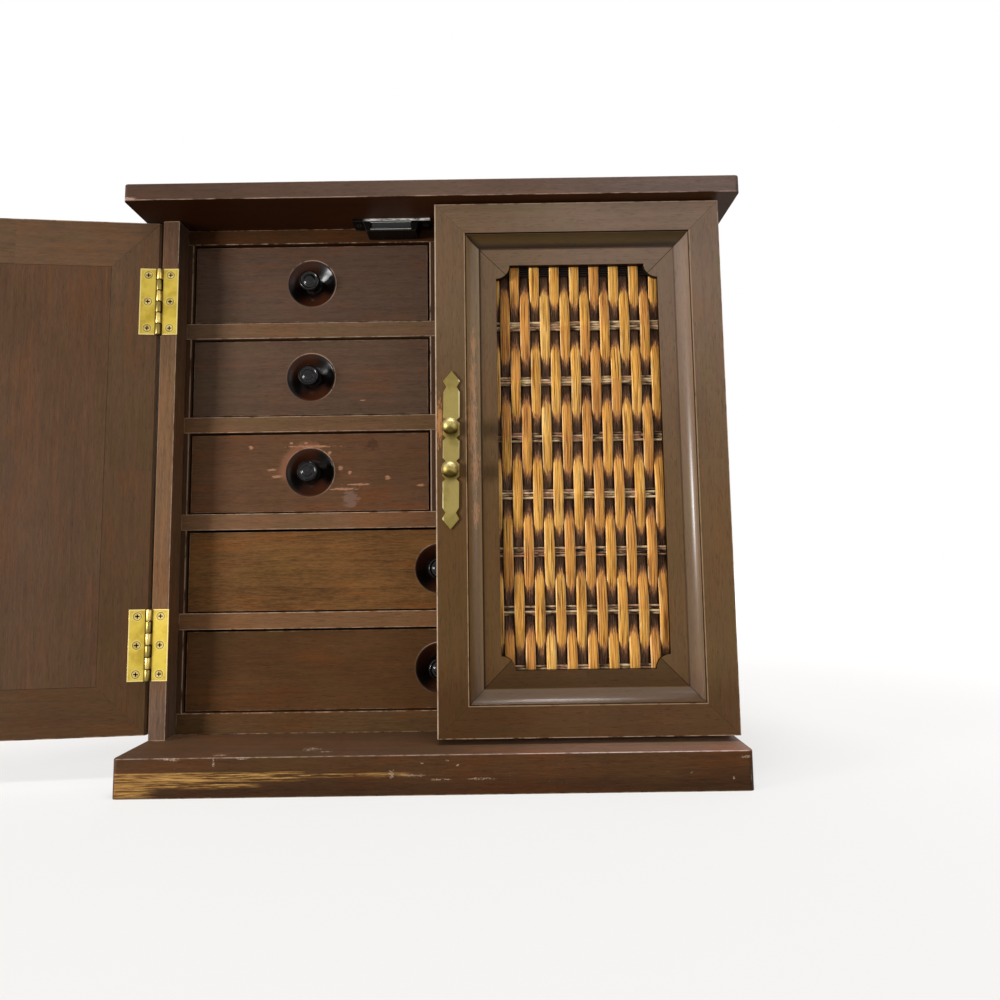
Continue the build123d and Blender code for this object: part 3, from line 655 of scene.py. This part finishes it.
scuffs = {
    # rubbed marks beside the knobs, as the base's chips
    "drawer_left_3": [
        (19.5, -9.8, 6.5, 0.55), (30, -7.3, 3.5, 0.5), (-19, -2.2, 2.4, 0.6),
        (-21.5, 1.6, 2.2, 0.5), (-33.8, 14.6, 1.0, 0.9), (22.7, -0.5, 0.8, 0.9),
        (0, 14.9, 11, 0.5), (-2.4, 16.8, 1.0, 0.5), (-10.8, 16.8, 0.8, 0.5), (11, 11, 0.8, 0.8),
        (44.3, -3.7, 1.2, 0.9), (62.7, -8.2, 1.6, 0.6), (17.3, 2.2, 1.0, 1.0), (26, -7.4, 5, 0.4),
    ],
    "drawer_left_2": [(30, -14, 1.0, 0.35)],
}
rubbed = {
    "colour": (178, 128, 96), "halo": (158, 104, 80), "reach": 5.0, "soft": 3.4,
    "grey": (132, 108, 96), "greyMarks": [(22.9, -15.6, 3.6, 5.0)],
    "knot": (48, 28, 24), "knotMarks": [(35.7, 15.6, 3.0, 2.6)],
}


def drawerMarks(node, paint, x, y, z, low, high):
    # the dish and the rubbed marks round a front's knob
    middle = sum(boxOf(f"{node}_knob"), Vector()) / 2
    across, up = x - middle.x, z - middle.z
    radius = (across * across + up * up) ** 0.5
    if node in scuffs:
        rag = (paint.cloud((2.6, 2.6, 0.6), 4.0, 0.7) - 0.5) * 5.0
        mark = markAt(paint, across, up, scuffs[node], rag)
        paint.lay(mark * 0.75, rubbed["colour"])
    if node == "drawer_left_3":
        lean = paint.fade((up - across * 0.9) / radius, 0.1, 0.9)
        edge = dish["radius"] + lean * rubbed["reach"]
        halo = paint.fade(radius + rag * 1.5, edge, edge - rubbed["soft"]) * lean
        paint.lay(halo * 0.42, rubbed["halo"])
        for key in ("grey", "knot"):
            cloudy = (paint.cloud((3, 3, 1.6)) - 0.5) * 2.6
            stained = markAt(paint, across, up, rubbed[key + "Marks"], cloudy)
            paint.lay(stained * 0.45, rubbed[key])
    paint.lay(paint.near(y, high.y, dish["rearFace"]), dish["rear"])
    bowl = paint.near(radius, dish["radius"], dish["bowl"])
    # painted reflection: brown in the black bowl below and above the knob
    below = paint.fade((up - across * 0.2) / radius, *dish["reflectionBelow"])
    above = paint.fade((up - across * 0.7) / radius, *dish["reflectionAbove"])
    reflectedBrown = below.most(above) * paint.fade(radius, *dish["reflectionOut"])
    paint.lay(bowl, paint.mix(reflectedBrown, dish["black"], dish["reflectedBrown"]))
    ring = paint.fade(abs(radius - dish["radius"] - dish["ringBeyond"]), *dish["ring"])
    # the pale worn lip, painted brighter towards the upper right as a painted highlight
    bright = paint.fade((across + up) / radius, -1.1, 1.2, 0.08, 1.0)
    ring = ring * paint.broken(0.34, 0.52, 5) * bright
    paint.lay(ring * 0.85, dish["ringColour"])
    paint.sockets.update({"Coat Weight": bowl, **dish["coat"]})
    paint.rough = paint.rough * (1 - bowl) + bowl * 0.3
    paint.height *= 1 - bowl


def drawerFinish():
    black = Paint("knobBlack")
    black.at, black.gloss = black.place(), knob["gloss"]
    black.height = black.cloud(2.5)
    black.colour = black.mix(black.fade(black.height, 0.45, 0.75), knob["black"], knob["dust"])
    black.rough = knob["rough"] + black.fade(black.height, 0.4, 0.8) * 0.10
    turned = black.finish(0.1, 0.05)
    for number, node in enumerate(drawers):
        name, style = f"{node}_front", look(**{**drawerWear, **drawers[node]})
        marks, seed = partial(drawerMarks, node), 100 + number
        dress(name, boardPaint(f"{node}FrontWood", name, style, "x", seed, marks), 0.45)
        dress(f"{node}_knob", turned)
        plain = boardPaint(f"{node}BoxWood", f"{node}_box", look("box"), "y", 140 + number)
        dress(f"{node}_box", plain, 0.3)


drawerFinish()
print(len(drawers), "drawers finished")


# Doors
door = {
    # from the door's edges: the quirk beside the frame, and the ends of the cove and its hollow
    "quirk": (16.4, 16.8), "quirkEdge": (0.55, 0.2), "coveStart": (16.8, 17.2),
    "coveEnd": 24.0, "coveFade": (24.0, 23.6), "bandFade": (24.0, 24.4), "hollowFade": (19.5, 23.0),
    "crease": (0.7, 0.0), "mitre": (0.34, 0.1), "mitreFrom": (15.9, 16.4), "opening": (26, 28),
    "lipBefore": 0.3, "lipEdge": (0.40, 0.1), "meeting": (0.75, 0.45), "front": (7.0, 8.0),
    # line is the dark colour of the painted shade in the quirk and the crease, and of the mitre joints
    "line": (26, 15, 9), "arris": (200, 172, 146),
    "left": {
        "style": look(
            stain=(92, 69, 50), contrast=0.30, streak=0.7,
            # darker and warmer towards the bottom, painted light and shade
            washes=[("up", 300, 0, (80, 56, 35))],
        ),
        "meetingWorn": 0.6,
    },
    "right": {
        "style": look(
            # painted light: the stain is the wood's colour greyed by a painted sheen on the upper door,
            # which goes darker and warmer lower down, greyer again as painted sheen near the bottom
            # edge, and shifts towards the meeting stile
            stain=(128, 107, 92), contrast=0.26, streak=0.55, fleck=0.45, warmth=0.25,
            washes=[
                ("up", 310, 90, (104, 79, 53)), ("up", 44, 16, (110, 87, 74)),
                ("across", 96, 8, (112, 90, 70)),
            ],
        ),
        "meetingWorn": 0.95,
    },
    # orange rubs beside the pull, as the base's chips
    "rubs": [
        (1.9, 163, 1.2, 8.5), (19.5, 163, 1.8, 13), (19.8, 186, 1.4, 10), (20.5, 140, 1.7, 9),
        (20.8, 116, 1.2, 7), (20.2, 206, 1.1, 6),
    ],
    "rubColour": (190, 134, 84),
    # the moulding's colour on each side, painted light and shade: the top cove darker and warmer where
    # it faces down, the meeting side's cove lighter, and the bottom cove greyer as a painted sheen
    "coveLightAndShade": {"top": (78, 60, 32), "meeting": (162, 136, 106), "bottom": (124, 106, 94)},
    # the top cove's hollow colour is painted shade
    "hollow": (70, 52, 40), "bandBottom": (104, 85, 71), "lip": (190, 156, 120),
    # the opening's wall colour is painted shade
    "wallShade": (34, 23, 15), "wallDepth": (9.7, 9.2),
    "coat": {"Coat IOR": 1.46, "Coat Roughness": 0.30},
    # each member's grain comes from its own part of the tree
    "nextMember": (310, 170), "rails": 500,
}


def doorPaint(name, hand, seed):
    # mitred parts: the grain follows each stile and rail
    paint, style = Paint(name), door[hand]["style"]
    across, depth, up = doorPlace(paint, hand)
    side = across.least(doorSize["width"] - across)
    end = up.least(doorSize["height"] - up)
    rail = end < side
    right, high = across > doorSize["width"] / 2, up > doorSize["height"] / 2
    shift = right * door["nextMember"][0] + high * door["nextMember"][1]
    upright = paint.point(across + shift, depth, up)
    level = paint.point(up + shift + door["rails"], depth, across)
    paint.at = shifted(paint, paint.mixPlaces(rail, upright, level), seed)
    turned = paint.mixPlaces(rail, paint.point(across, depth, up), paint.point(up, depth, across))
    stainedWood(paint, paint.parts(turned), style)
    shiftStainAndLight(paint, style, {"across": across, "up": up})
    edge = side.least(end)
    inner, outer = door["quirk"]
    outside = paint.fade(depth, *door["front"])
    near = across < doorSize["width"] / 2
    where = {"top": rail * high, "bottom": rail * (1 - high), "meeting": (1 - rail) * near}

    # painted light and shade on the coves, side by side
    cove = paint.fade(edge, *door["coveStart"]) * paint.fade(edge, *door["coveFade"]) * outside
    for key, after in door["coveLightAndShade"].items():
        paint.restainAndShade(cove * where[key], after)
    band = paint.fade(edge, *door["bandFade"]) * outside * where["bottom"]
    paint.restainAndShade(band, door["bandBottom"])
    # painted shade in the top cove's hollow
    hollow = cove * paint.fade(edge, *door["hollowFade"]) * where["top"]
    paint.restainAndShade(hollow, door["hollow"])
    # painted shade in the quirk and along the crease, strongest under the top rail
    strong = where["top"] * 0.55 + 0.3
    quirk = paint.fade(abs(edge - (inner + outer) / 2), *door["quirkEdge"]) * strong
    crease = paint.fade(abs(edge - door["coveEnd"]), *door["crease"])
    crease = crease * (1 - where["bottom"]) * 0.4
    crease += crease * where["meeting"] * 0.8
    paint.lay(quirk.most(crease) * outside, door["line"])
    mitre = paint.fade(abs(side - end), *door["mitre"])
    mitre *= paint.fade(edge, *door["mitreFrom"], 0.12, 1.0)
    paint.lay(mitre * outside * 0.8, door["line"])
    rub = paint.cloud((6, 6, 9), 4.0, 0.65)
    nearFace = abs(depth - doorSize["thickness"]).least(abs(depth))
    arris = paint.fade(edge.most(nearFace), *wear["arris"]) * paint.fade(rub, 0.40, 0.56) * 0.6
    meeting = paint.fade(across.most(nearFace), *door["meeting"])
    meeting *= paint.fade(rub, 0.24, 0.60, 0.35, 1.0)
    arris = arris.most(meeting * door[hand]["meetingWorn"])
    lip = paint.fade(abs(edge - inner + door["lipBefore"]), *door["lipEdge"])
    lip = lip * paint.fade(rub, 0.26, 0.52) * outside
    paint.lay(lip * (1 - where["top"]) * 0.55, door["lip"])
    paint.lay(arris, door["arris"])
    rag = (paint.cloud((0.6, 0.6, 4.5), 4.0, 0.75) - 0.5) * 7.0
    rubs = markAt(paint, across, up, door["rubs"], rag) * outside
    paint.lay(rubs * 0.75, door["rubColour"])
    # painted shade on the wall of the opening
    wallShade = paint.fade(edge, *door["opening"]) * paint.fade(depth, *door["wallDepth"])
    paint.restainAndShade(wallShade, door["wallShade"])
    paint.sockets["Coat Weight"] = cove * (1 - where["top"] * 0.8)
    return paint.finish(**door["coat"])


def doorFinish():
    for number, hand in enumerate(hinges):
        for part, softened in (("Frame", 0.4), ("Moulding", 0.2)):
            wood = doorPaint(f"{hand}{part}Wood", hand, 200 + number)
            dress(f"door_{hand}_{part.lower()}", wood, softened)
        node, panel = f"door_{hand}_backing", look(stain=panelStain, worn=0.3)
        dress(node, boardPaint(node + "Wood", node, panel, "z", 210 + number))


doorFinish()
print("doors finished")


# Woven panels
weave = {
    "pocket": 26.15,  # from the door's edges to the panel's edges
    "backing": 2.45, "thickness": 0.95, "crown": 0.30, "ridge": 0.09, "swing": 1.42,
    "splint": 5.05, "pitch": 5.47, "first": 32.1,  # from the meeting edge
    "bulge": 0.28,  # added to the width in front, and taken from it behind
    # slow wanders, each as its length, its step from bar to bar, its seed and its size
    "sway": (34, 3.7, 0, 0.16), "lean": (21, 5.1, 9, 0.10), "swell": (17, 2.3, 5, 0.30),
    "rodWave": (15, 1, 0, 0.14), "rodPush": (11, 1, 4, 0.14),
    # grooves across a splint, each as how fine, step, length, seed and size
    "grooves": ((3.4, 7, 60, 2, 1.0), (8.0, 11, 26, 3, 0.6)),
    "edgeDrop": (0.14, -0.10),
    "rod": 5.2, "rodPitch": 30.9, "rodFirst": 32.4,  # from the door's bottom edge
    "strands": 4, "strandRound": 0.63,
    "step": 1.3, "across": 10,  # between a splint's sections, and points across one
    "rodStep": 1.6, "rodSides": 8,
    "gold": [
        (0.0, (146, 82, 32)), (0.32, (208, 139, 56)), (0.66, (238, 176, 82)), (1.0, (255, 216, 138)),
    ],
    "pink": (224, 156, 92),
    "streak": (84, 40, 15),
    "cream": (252, 226, 172),
    "deep": [
        (0.0, (14, 8, 5)), (0.38, (50, 32, 22)), (0.55, (100, 72, 54)), (0.80, (146, 118, 86)),
    ],
    "middle": (166, 112, 74),
    "rodTones": [
        (0.0, (24, 15, 11)), (0.30, (88, 66, 48)), (0.56, (160, 134, 98)), (1.0, (226, 200, 156)),
    ],
    "rodPink": (196, 140, 112),
    "rim": (0.72, 0.92), "burnt": (-0.70, -0.40), "bare": (-0.44, -0.26),
    "gloss": 0.12,
}
weave["depth"] = weave["backing"] + weave["swing"] + weave["thickness"] / 2 + 0.03
weaveTop = doorSize["height"] - weave["pocket"]
weaveEnd = doorSize["width"] - weave["pocket"]
weave["rodCount"] = int((weaveTop - weave["rodFirst"]) / weave["rodPitch"]) + 1
weave["splintCount"] = 1 + int(
    (weaveEnd - weave["splint"] / 2 - weave["first"]) / weave["pitch"]
)


def wander(key, along, bar, seed):
    length, step, own, size = weave[key]
    return noise.noise((along / length, bar * step, seed + own)) * size


def splints(seed):
    # gives each splint's corners, as a place on the door and what the paint reads there
    chance = Random(seed)
    low, high = weave["pocket"], weaveTop
    sections = int((high - low) / weave["step"]) + 1
    size = 2 * weave["across"]
    for number in range(weave["splintCount"]):
        bar = []
        sign = 1 if number % 2 else -1
        centre = weave["first"] + number * weave["pitch"]
        offset, lift = chance.uniform(0, 500), chance.uniform(-0.04, 0.04)
        floats = [chance.uniform(0, 1) for turn in range(12)]
        own = chance.uniform(0, 1)
        for section in range(sections):
            height = low + (high - low) * section / (sections - 1)
            turn = (height - weave["rodFirst"]) / weave["rodPitch"]
            front = sign * cos(pi * turn)
            middle = centre + wander("sway", height, number, seed)
            lean = wander("lean", height, number, seed)
            width = weave["splint"] + weave["bulge"] * front + wander("swell", height, number, seed)
            depth = weave["depth"] + weave["swing"] * front * (1.12 - 0.12 * front * front) + lift
            flat = int((turn + (0 if sign > 0 else 1)) / 2 + 6)
            tone = 0.55 * floats[flat % 12] + 0.45 * own
            for corner in range(size):
                face = corner < weave["across"]
                step = corner % weave["across"] if face else size - 1 - corner
                share = 2 * step / (weave["across"] - 1) - 1
                grooves = sum(
                    deep * noise.noise((share * fine + number * apart, height / long, seed + other))
                    for fine, apart, long, other, deep in weave["grooves"]
                )
                out = weave["thickness"] / 2 * (1 if face else -1)
                out += grooves * weave["ridge"] * (1 if face else 0.2)
                out -= weave["crown"] * share * share - lean * share
                if abs(share) == 1:
                    out -= weave["edgeDrop"][0 if face else 1]
                aside = share * width / 2
                run = (aside + number * 17.0, 0.0 if face else 5.0, height + offset)
                bar.append((middle + aside, height, depth + out, run, front, tone, abs(share)))
        yield bar


def rods(seed):
    chance = Random(seed)
    low, high = weave["pocket"], weaveEnd
    sections, size = int((high - low) / weave["rodStep"]) + 1, weave["rodSides"]
    gap = (weave["rod"] - 2 * weave["strandRound"]) / (weave["strands"] - 1)
    for rod in range(weave["rodCount"]):
        shadedRod = float(rod == weave["rodCount"] - 1)  # the top rod is painted dark as painted shade under the frame
        for strand in range(weave["strands"]):
            bar = []
            level = weave["rodFirst"] + rod * weave["rodPitch"]
            level += (strand - (weave["strands"] - 1) / 2) * gap
            own, offset = chance.uniform(0, 1), chance.uniform(0, 300)
            for section in range(sections):
                across = low + (high - low) * section / (sections - 1)
                wave = wander("rodWave", across, rod * 4 + strand * 1.7, seed)
                push = wander("rodPush", across, rod * 6 + strand * 2.9, seed)
                radius = weave["strandRound"] * (1 + 0.12 * noise.noise((across / 6, strand, rod)))
                for corner in range(size):
                    angle = 2 * pi * (corner + 0.5) / size
                    up = level + wave * 0.6 + radius * cos(angle)
                    out = weave["depth"] + push + radius * 1.15 * sin(angle)
                    run = (radius * angle, strand * 9.0 + rod * 31.0, across + offset)
                    bar.append((across, up, out, run, own, shadedRod))
            yield bar


def barPiece(name, hand, size, bars, readings):
    # bars whose sections have size corners each, and their readings for the paint
    points, faces = [], []
    for bar in bars:
        start, last = len(points), len(points) + len(bar) - size
        for low in range(start, last, size):
            for corner in range(low, low + size):
                after = corner + 1 if corner + 1 < low + size else low
                faces.append((corner, after, after + size, corner + size))
        faces.append(tuple(range(start + size - 1, start - 1, -1)))
        faces.append(tuple(range(last, last + size)))
        points += bar
    mesh = bpy.data.meshes.new(name)
    mesh.from_pydata([doorPoint(hand, *point[:3]) for point in points], [], faces)
    for column, reading in enumerate(readings.split(), 3):
        values = [point[column] for point in points]
        if isinstance(values[0], float):
            mesh.attributes.new(reading, "FLOAT", "POINT").data.foreach_set("value", values)
        else:
            flat = [part for value in values for part in value]
            mesh.attributes.new(reading, "FLOAT_VECTOR", "POINT").data.foreach_set("vector", flat)
    mesh.shade_smooth()
    return addObject(name, mesh)


def splintPaint():
    paint = Paint("splint")
    paint.at, front = paint.reading("run", "Vector"), paint.reading("show")
    own, side = paint.reading("tone"), paint.reading("side")
    grainy = paint.cloud((0.42, 1.0, 16), 4.0, 0.7) - 0.5
    broad = paint.cloud((1.5, 1.0, 60)) - 0.5
    ragged = paint.cloud((0.36, 1.0, 5), 3.0, 0.65) - 0.5
    tone = 0.32 + own * 0.42 + broad * 0.9 + grainy * 1.5
    paint.colour = paint.ramp(tone, weave["gold"])
    paint.lay(paint.fade(own + broad * 1.2, 0.56, 0.30) * 0.36, weave["pink"])
    lines = paint.broken(0.515, 0.575, (0.30, 1.0, 26), 2.0)
    paint.lay(lines * 0.85, weave["streak"])
    rim = paint.fade(side, *weave["rim"]) * paint.broken(0.40, 0.56, (2, 1.0, 9))
    paint.lay(rim * 0.4, weave["cream"])
    gold = paint.colour
    deep = paint.ramp(paint.cloud((0.34, 1.0, 7), 3.0, 0.65) + (own - 0.5) * 0.10, weave["deep"])
    tip = front + ragged * 2.1 + broad * 0.3 - side * side * side * side * 0.28
    paint.colour = paint.mix(paint.fade(tip, *weave["burnt"]), deep, weave["middle"])
    bare = paint.fade(tip, *weave["bare"])
    paint.lay(bare, gold)
    paint.rough = 0.50 - bare * 0.06 + grainy * 0.2
    paint.height, paint.gloss = grainy + lines * -0.5, weave["gloss"]
    return paint.finish(0.5, 0.12)


def rodPaint():
    paint = Paint("rodStrand")
    paint.at, own = paint.reading("run", "Vector"), paint.reading("tone")
    grainy = paint.cloud((0.4, 0.4, 5)) - 0.5
    stain = paint.cloud((4, 1.0, 6), 2.0, 0.55) - 0.5
    tone = 0.46 + (own - 0.5) * 0.75 + grainy * 1.5 + stain * 2.3
    paint.colour = paint.ramp(tone, weave["rodTones"])
    paint.lay(paint.broken(0.50, 0.62, (4, 6, 8), 2.0, 0.5) * 0.5, weave["rodPink"])
    # painted shade on the top rod
    paint.lay(paint.reading("dim"), weave["rodTones"][0][1])
    paint.rough, paint.height, paint.gloss = 0.5 + grainy * 0.2, grainy, weave["gloss"]
    return paint.finish(0.4, 0.1)


def weavePanels():
    golden, tan = splintPaint(), rodPaint()
    for number, hand in enumerate(hinges):
        for name, size, bars, readings, material in (
            ("Splints", 2 * weave["across"], splints(31 + number), "run show tone side", golden),
            ("Rods", weave["rodSides"], rods(61 + number), "run tone dim", tan),
        ):
            piece = barPiece(f"{hand}Door{name}", hand, size, bars, readings)
            piece.data.materials.append(material)
            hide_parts(f"door_{hand}_weave")
            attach(piece, f"door_{hand}")
            print(piece.name, len(piece.data.polygons), "faces")


weavePanels()
print("woven panels made")


# Brass and the catches
brass = {
    "leaf": (200, 174, 74), "leafDull": (168, 142, 52), "border": (222, 202, 140),
    # the knuckles' colours are painted reflections, bright on the case leaf and dark on the door leaf
    "caseKnuckleHighlight": (210, 184, 112), "doorKnuckleDarkReflection": (124, 110, 66),
    "pin": (206, 184, 126), "tarnishAndShade": (64, 46, 18), "screw": (206, 184, 118),
    "screwDull": (166, 144, 80), "recess": (30, 16, 5),
    "leafHeight": 38.1, "leafWidth": 10.5, "knuckles": 6,
    "screwReach": 6.1, "screwPitch": 15.3, "screwHead": 1.95,
    # widths of the marks on a leaf, in mm
    "ring": (0.36, 0.1), "pale": (0.35, 0.1), "paleBeyond": 0.5, "edge": (0.8, 0.4),
    "knuckleGap": ((2.5, 1.8), (1.2, 1.5)), "knuckle": (1.5, 1.3), "seam": (0.09, 0.04),
    "doorSlot": (-0.88, -0.72), "caseSlot": (0.1, -0.7),
}
pull = {
    "bright": (158, 140, 82), "dull": (134, 118, 64), "shine": (226, 210, 150), "shadow": (66, 54, 16),
    "balls": [(8.02, 137.2), (8.36, 159.8)], "ball": 4.5,  # each from the meeting edge and the bottom
    "ballDepth": (16.0, 16.6), "middle": 8.15, "border": (3.98, 4.33), "edge": (222, 208, 158),
}
catch = {
    "black": ((7, 5, 4), (18, 15, 13)), "steel": ((250, 250, 246), (190, 186, 180)),
    # the rim's colour is a painted highlight
    "magnet": ((26, 29, 28), (48, 52, 50)), "rim": (242, 242, 234), "screw": (58, 58, 56),
    "ears": (299.0, 299.5),  # screws above these levels are the catches'
    "rimUp": (0.1, 0.5), "rimFront": (0.6, 0.2), "rimEnds": (5, 0),
}


def brassPaint(name, bright, dull, patchSize, rough, marks=None):
    paint = Paint(name)
    paint.at = paint.place()
    patch, fine = paint.cloud(patchSize, 3.0, 0.55), paint.cloud((0.5, 0.5, 2.6))
    paint.colour = paint.mix(paint.fade(patch, 0.36, 0.66), bright, dull)
    paint.lay((fine - 0.5) * 0.5, brass["tarnishAndShade"])
    paint.rough = rough + (patch - 0.5) * 0.25 + (fine - 0.5) * 0.12
    paint.height = fine + patch
    if marks:
        marks(paint)
    return paint.finish(0.12, 0.05, Metallic=1.0)


def hingeMarks(hand, onDoor, paint):
    # a painted shade ring round each countersunk screw, pale borders, darkening beside the knuckles,
    # and knuckles painted bright and dark as painted reflections;
    # reach is from the hinge's axis, middle from a leaf's middle and beyond from a screw's rim
    low, high = boxOf(f"hinge_{hand}_case_leaves")
    axis = abs(hinges[hand][0]) / mm
    if onDoor:
        across, depth, up = doorPlace(paint, hand)
        reach, level = abs(across + doorSize["meeting"] - axis), up + doorSize["bottom"]
    else:
        x, y, level = paint.parts(paint.at)
        reach = abs(abs(x) - axis)
    half = brass["leafHeight"] / 2
    middle = abs(level - (low.z + half)).least(abs(level - (high.z - half)))
    row = middle.least(abs(middle - brass["screwPitch"]))
    away = reach - brass["screwReach"]
    beyond = (row * row + away * away) ** 0.5 - brass["screwHead"]
    # painted shade in a ring round each screw head
    ring = paint.fade(abs(beyond), *brass["ring"])
    pale = paint.fade(abs(beyond - brass["paleBeyond"]), *brass["pale"]) * 0.5
    inside = (brass["leafWidth"] - reach).least(half - middle)
    paint.lay(paint.fade(inside, *brass["edge"]).most(pale) * 0.7, brass["border"])
    # darker beside the knuckles
    outer, inner = brass["knuckleGap"]
    beside = paint.fade(reach, *outer) * paint.fade(reach, *inner)
    paint.lay(ring.most(beside) * 0.85, brass["tarnishAndShade"])
    # painted reflections on the knuckles
    knuckle = paint.fade(reach, *brass["knuckle"])
    paint.lay(knuckle * 0.85, brass["doorKnuckleDarkReflection" if onDoor else "caseKnuckleHighlight"])
    step = (middle / (brass["leafHeight"] / brass["knuckles"])).fraction()
    seam = paint.fade(step.least(1 - step), *brass["seam"]) * knuckle
    paint.lay(seam * 0.9, brass["tarnishAndShade"])


def screwMarks(hand, onDoor, paint):
    # the slots are painted dark, and the catch's screws are steel
    x, y, z = paint.parts(paint.at)
    if onDoor:
        across, depth, up = doorPlace(paint, hand)
        deep = paint.fade(depth, *brass["doorSlot"])
    else:
        begin, full = brass["caseSlot"]
        deep = paint.fade(y, boxOf("case_screws")[0].y + begin, full)
    paint.lay(deep, brass["recess"])
    paint.lay(paint.fade(z, *catch["ears"]), catch["screw"])
    paint.rough += deep * 0.4


def pullMarks(hand, paint):
    # the balls are bright above and dark below
    across, depth, up = doorPlace(paint, hand)
    border = paint.fade(abs(across - pull["middle"]), *pull["border"])
    border *= paint.broken(0.30, 0.50, (2, 2, 5))
    paint.lay(border * 0.8, pull["edge"])
    speck = (paint.cloud(1.1) - 0.5) * 1.2
    onBall = paint.fade(depth, *pull["ballDepth"])
    for aside, level in pull["balls"]:
        over, beside = (up - level) / pull["ball"], abs(across - aside) / pull["ball"]
        near = paint.fade(abs(over), 1.3, 1.1)
        light = paint.fade(over + speck, 0.0, 0.5) * near * onBall
        paint.lay(light * 0.55, pull["shine"])
        dark = paint.fade(over + beside * 0.5 + speck * 0.25, 0.0, -0.35) * near * onBall
        paint.lay(dark * 0.8, pull["shadow"])
    paint.rough += onBall * 0.12


def brassFinish():
    screwed = brass["screw"], brass["screwDull"], 3, 0.36
    for hand in hinges:
        for onDoor, node in ((False, "case_leaves"), (True, "door_leaves")):
            name, marks = f"{hand}{node}Brass", partial(hingeMarks, hand, onDoor)
            paint = brassPaint(name, brass["leaf"], brass["leafDull"], 9, 0.36, marks)
            dress(f"hinge_{hand}_{node}", paint, 0.12)
        worn = partial(pullMarks, hand)
        aged = brassPaint(f"{hand}PullBrass", pull["bright"], pull["dull"], 11, 0.36, worn)
        dress(f"door_{hand}_pull", aged, 0.4)
        screws = brassPaint(f"{hand}ScrewBrass", *screwed, partial(screwMarks, hand, True))
        dress(f"door_{hand}_screws", screws)
    dress("hinge_pins", brassPaint("pinBrass", brass["pin"], brass["leafDull"], 5, 0.3))
    dress("case_screws", brassPaint("caseScrewBrass", *screwed, partial(screwMarks, "left", False)))


def speckled(name, size, hues, rough, spread=None, marks=None, gloss=0.5, bump=0.1, **constants):
    # two hues in patches, the second of them rougher
    paint = Paint(name)
    paint.at, paint.gloss = paint.place(), gloss
    patch = paint.cloud(size)
    paint.colour = paint.mix(paint.fade(patch, *spread) if spread else patch, *hues)
    paint.rough, paint.height = rough[0] + patch * rough[1], patch
    if marks:
        marks(paint)
    return paint.finish(bump, 0.05, **constants)


def housingMarks(paint):
    # a painted highlight along the front of the flange
    low, plate = boxOf("catch_housings")[0], boxOf("catch_pole_plates")[1]
    x, y, z = paint.parts(paint.at)
    rim = paint.near(z, plate.z, catch["rimUp"]) * paint.near(y, low.y, catch["rimFront"])
    rim *= paint.broken(0.30, 0.60, (4, 1, 1.5))
    rim *= paint.near(abs(x), plate.x, catch["rimEnds"])
    paint.lay(rim * 0.8, catch["rim"])


def catchFinish():
    black = speckled("catchBlack", 3, catch["black"], (0.20, 0.2), (0.4, 0.8), housingMarks, 0.2)
    dress("catch_housings", black, 0.3)
    steel = speckled("catchSteel", (4, 4, 0.8), catch["steel"], (0.06, 0.12), (0.5, 0.75), Metallic=1.0)
    for node in ("catch_pole_plates", "door_left_strike", "door_right_strike"):
        dress(node, steel, 0.12)
    dress("catch_magnets", speckled("magnet", 0.8, catch["magnet"], (0.55, 0.1), gloss=0.15, bump=0.2))


brassFinish()
catchFinish()
print("brass and catches finished")

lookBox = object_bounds()
boxes = {"cad": cadBox, "look": lookBox}
{name: [list(corner) for corner in box] for name, box in boxes.items()}
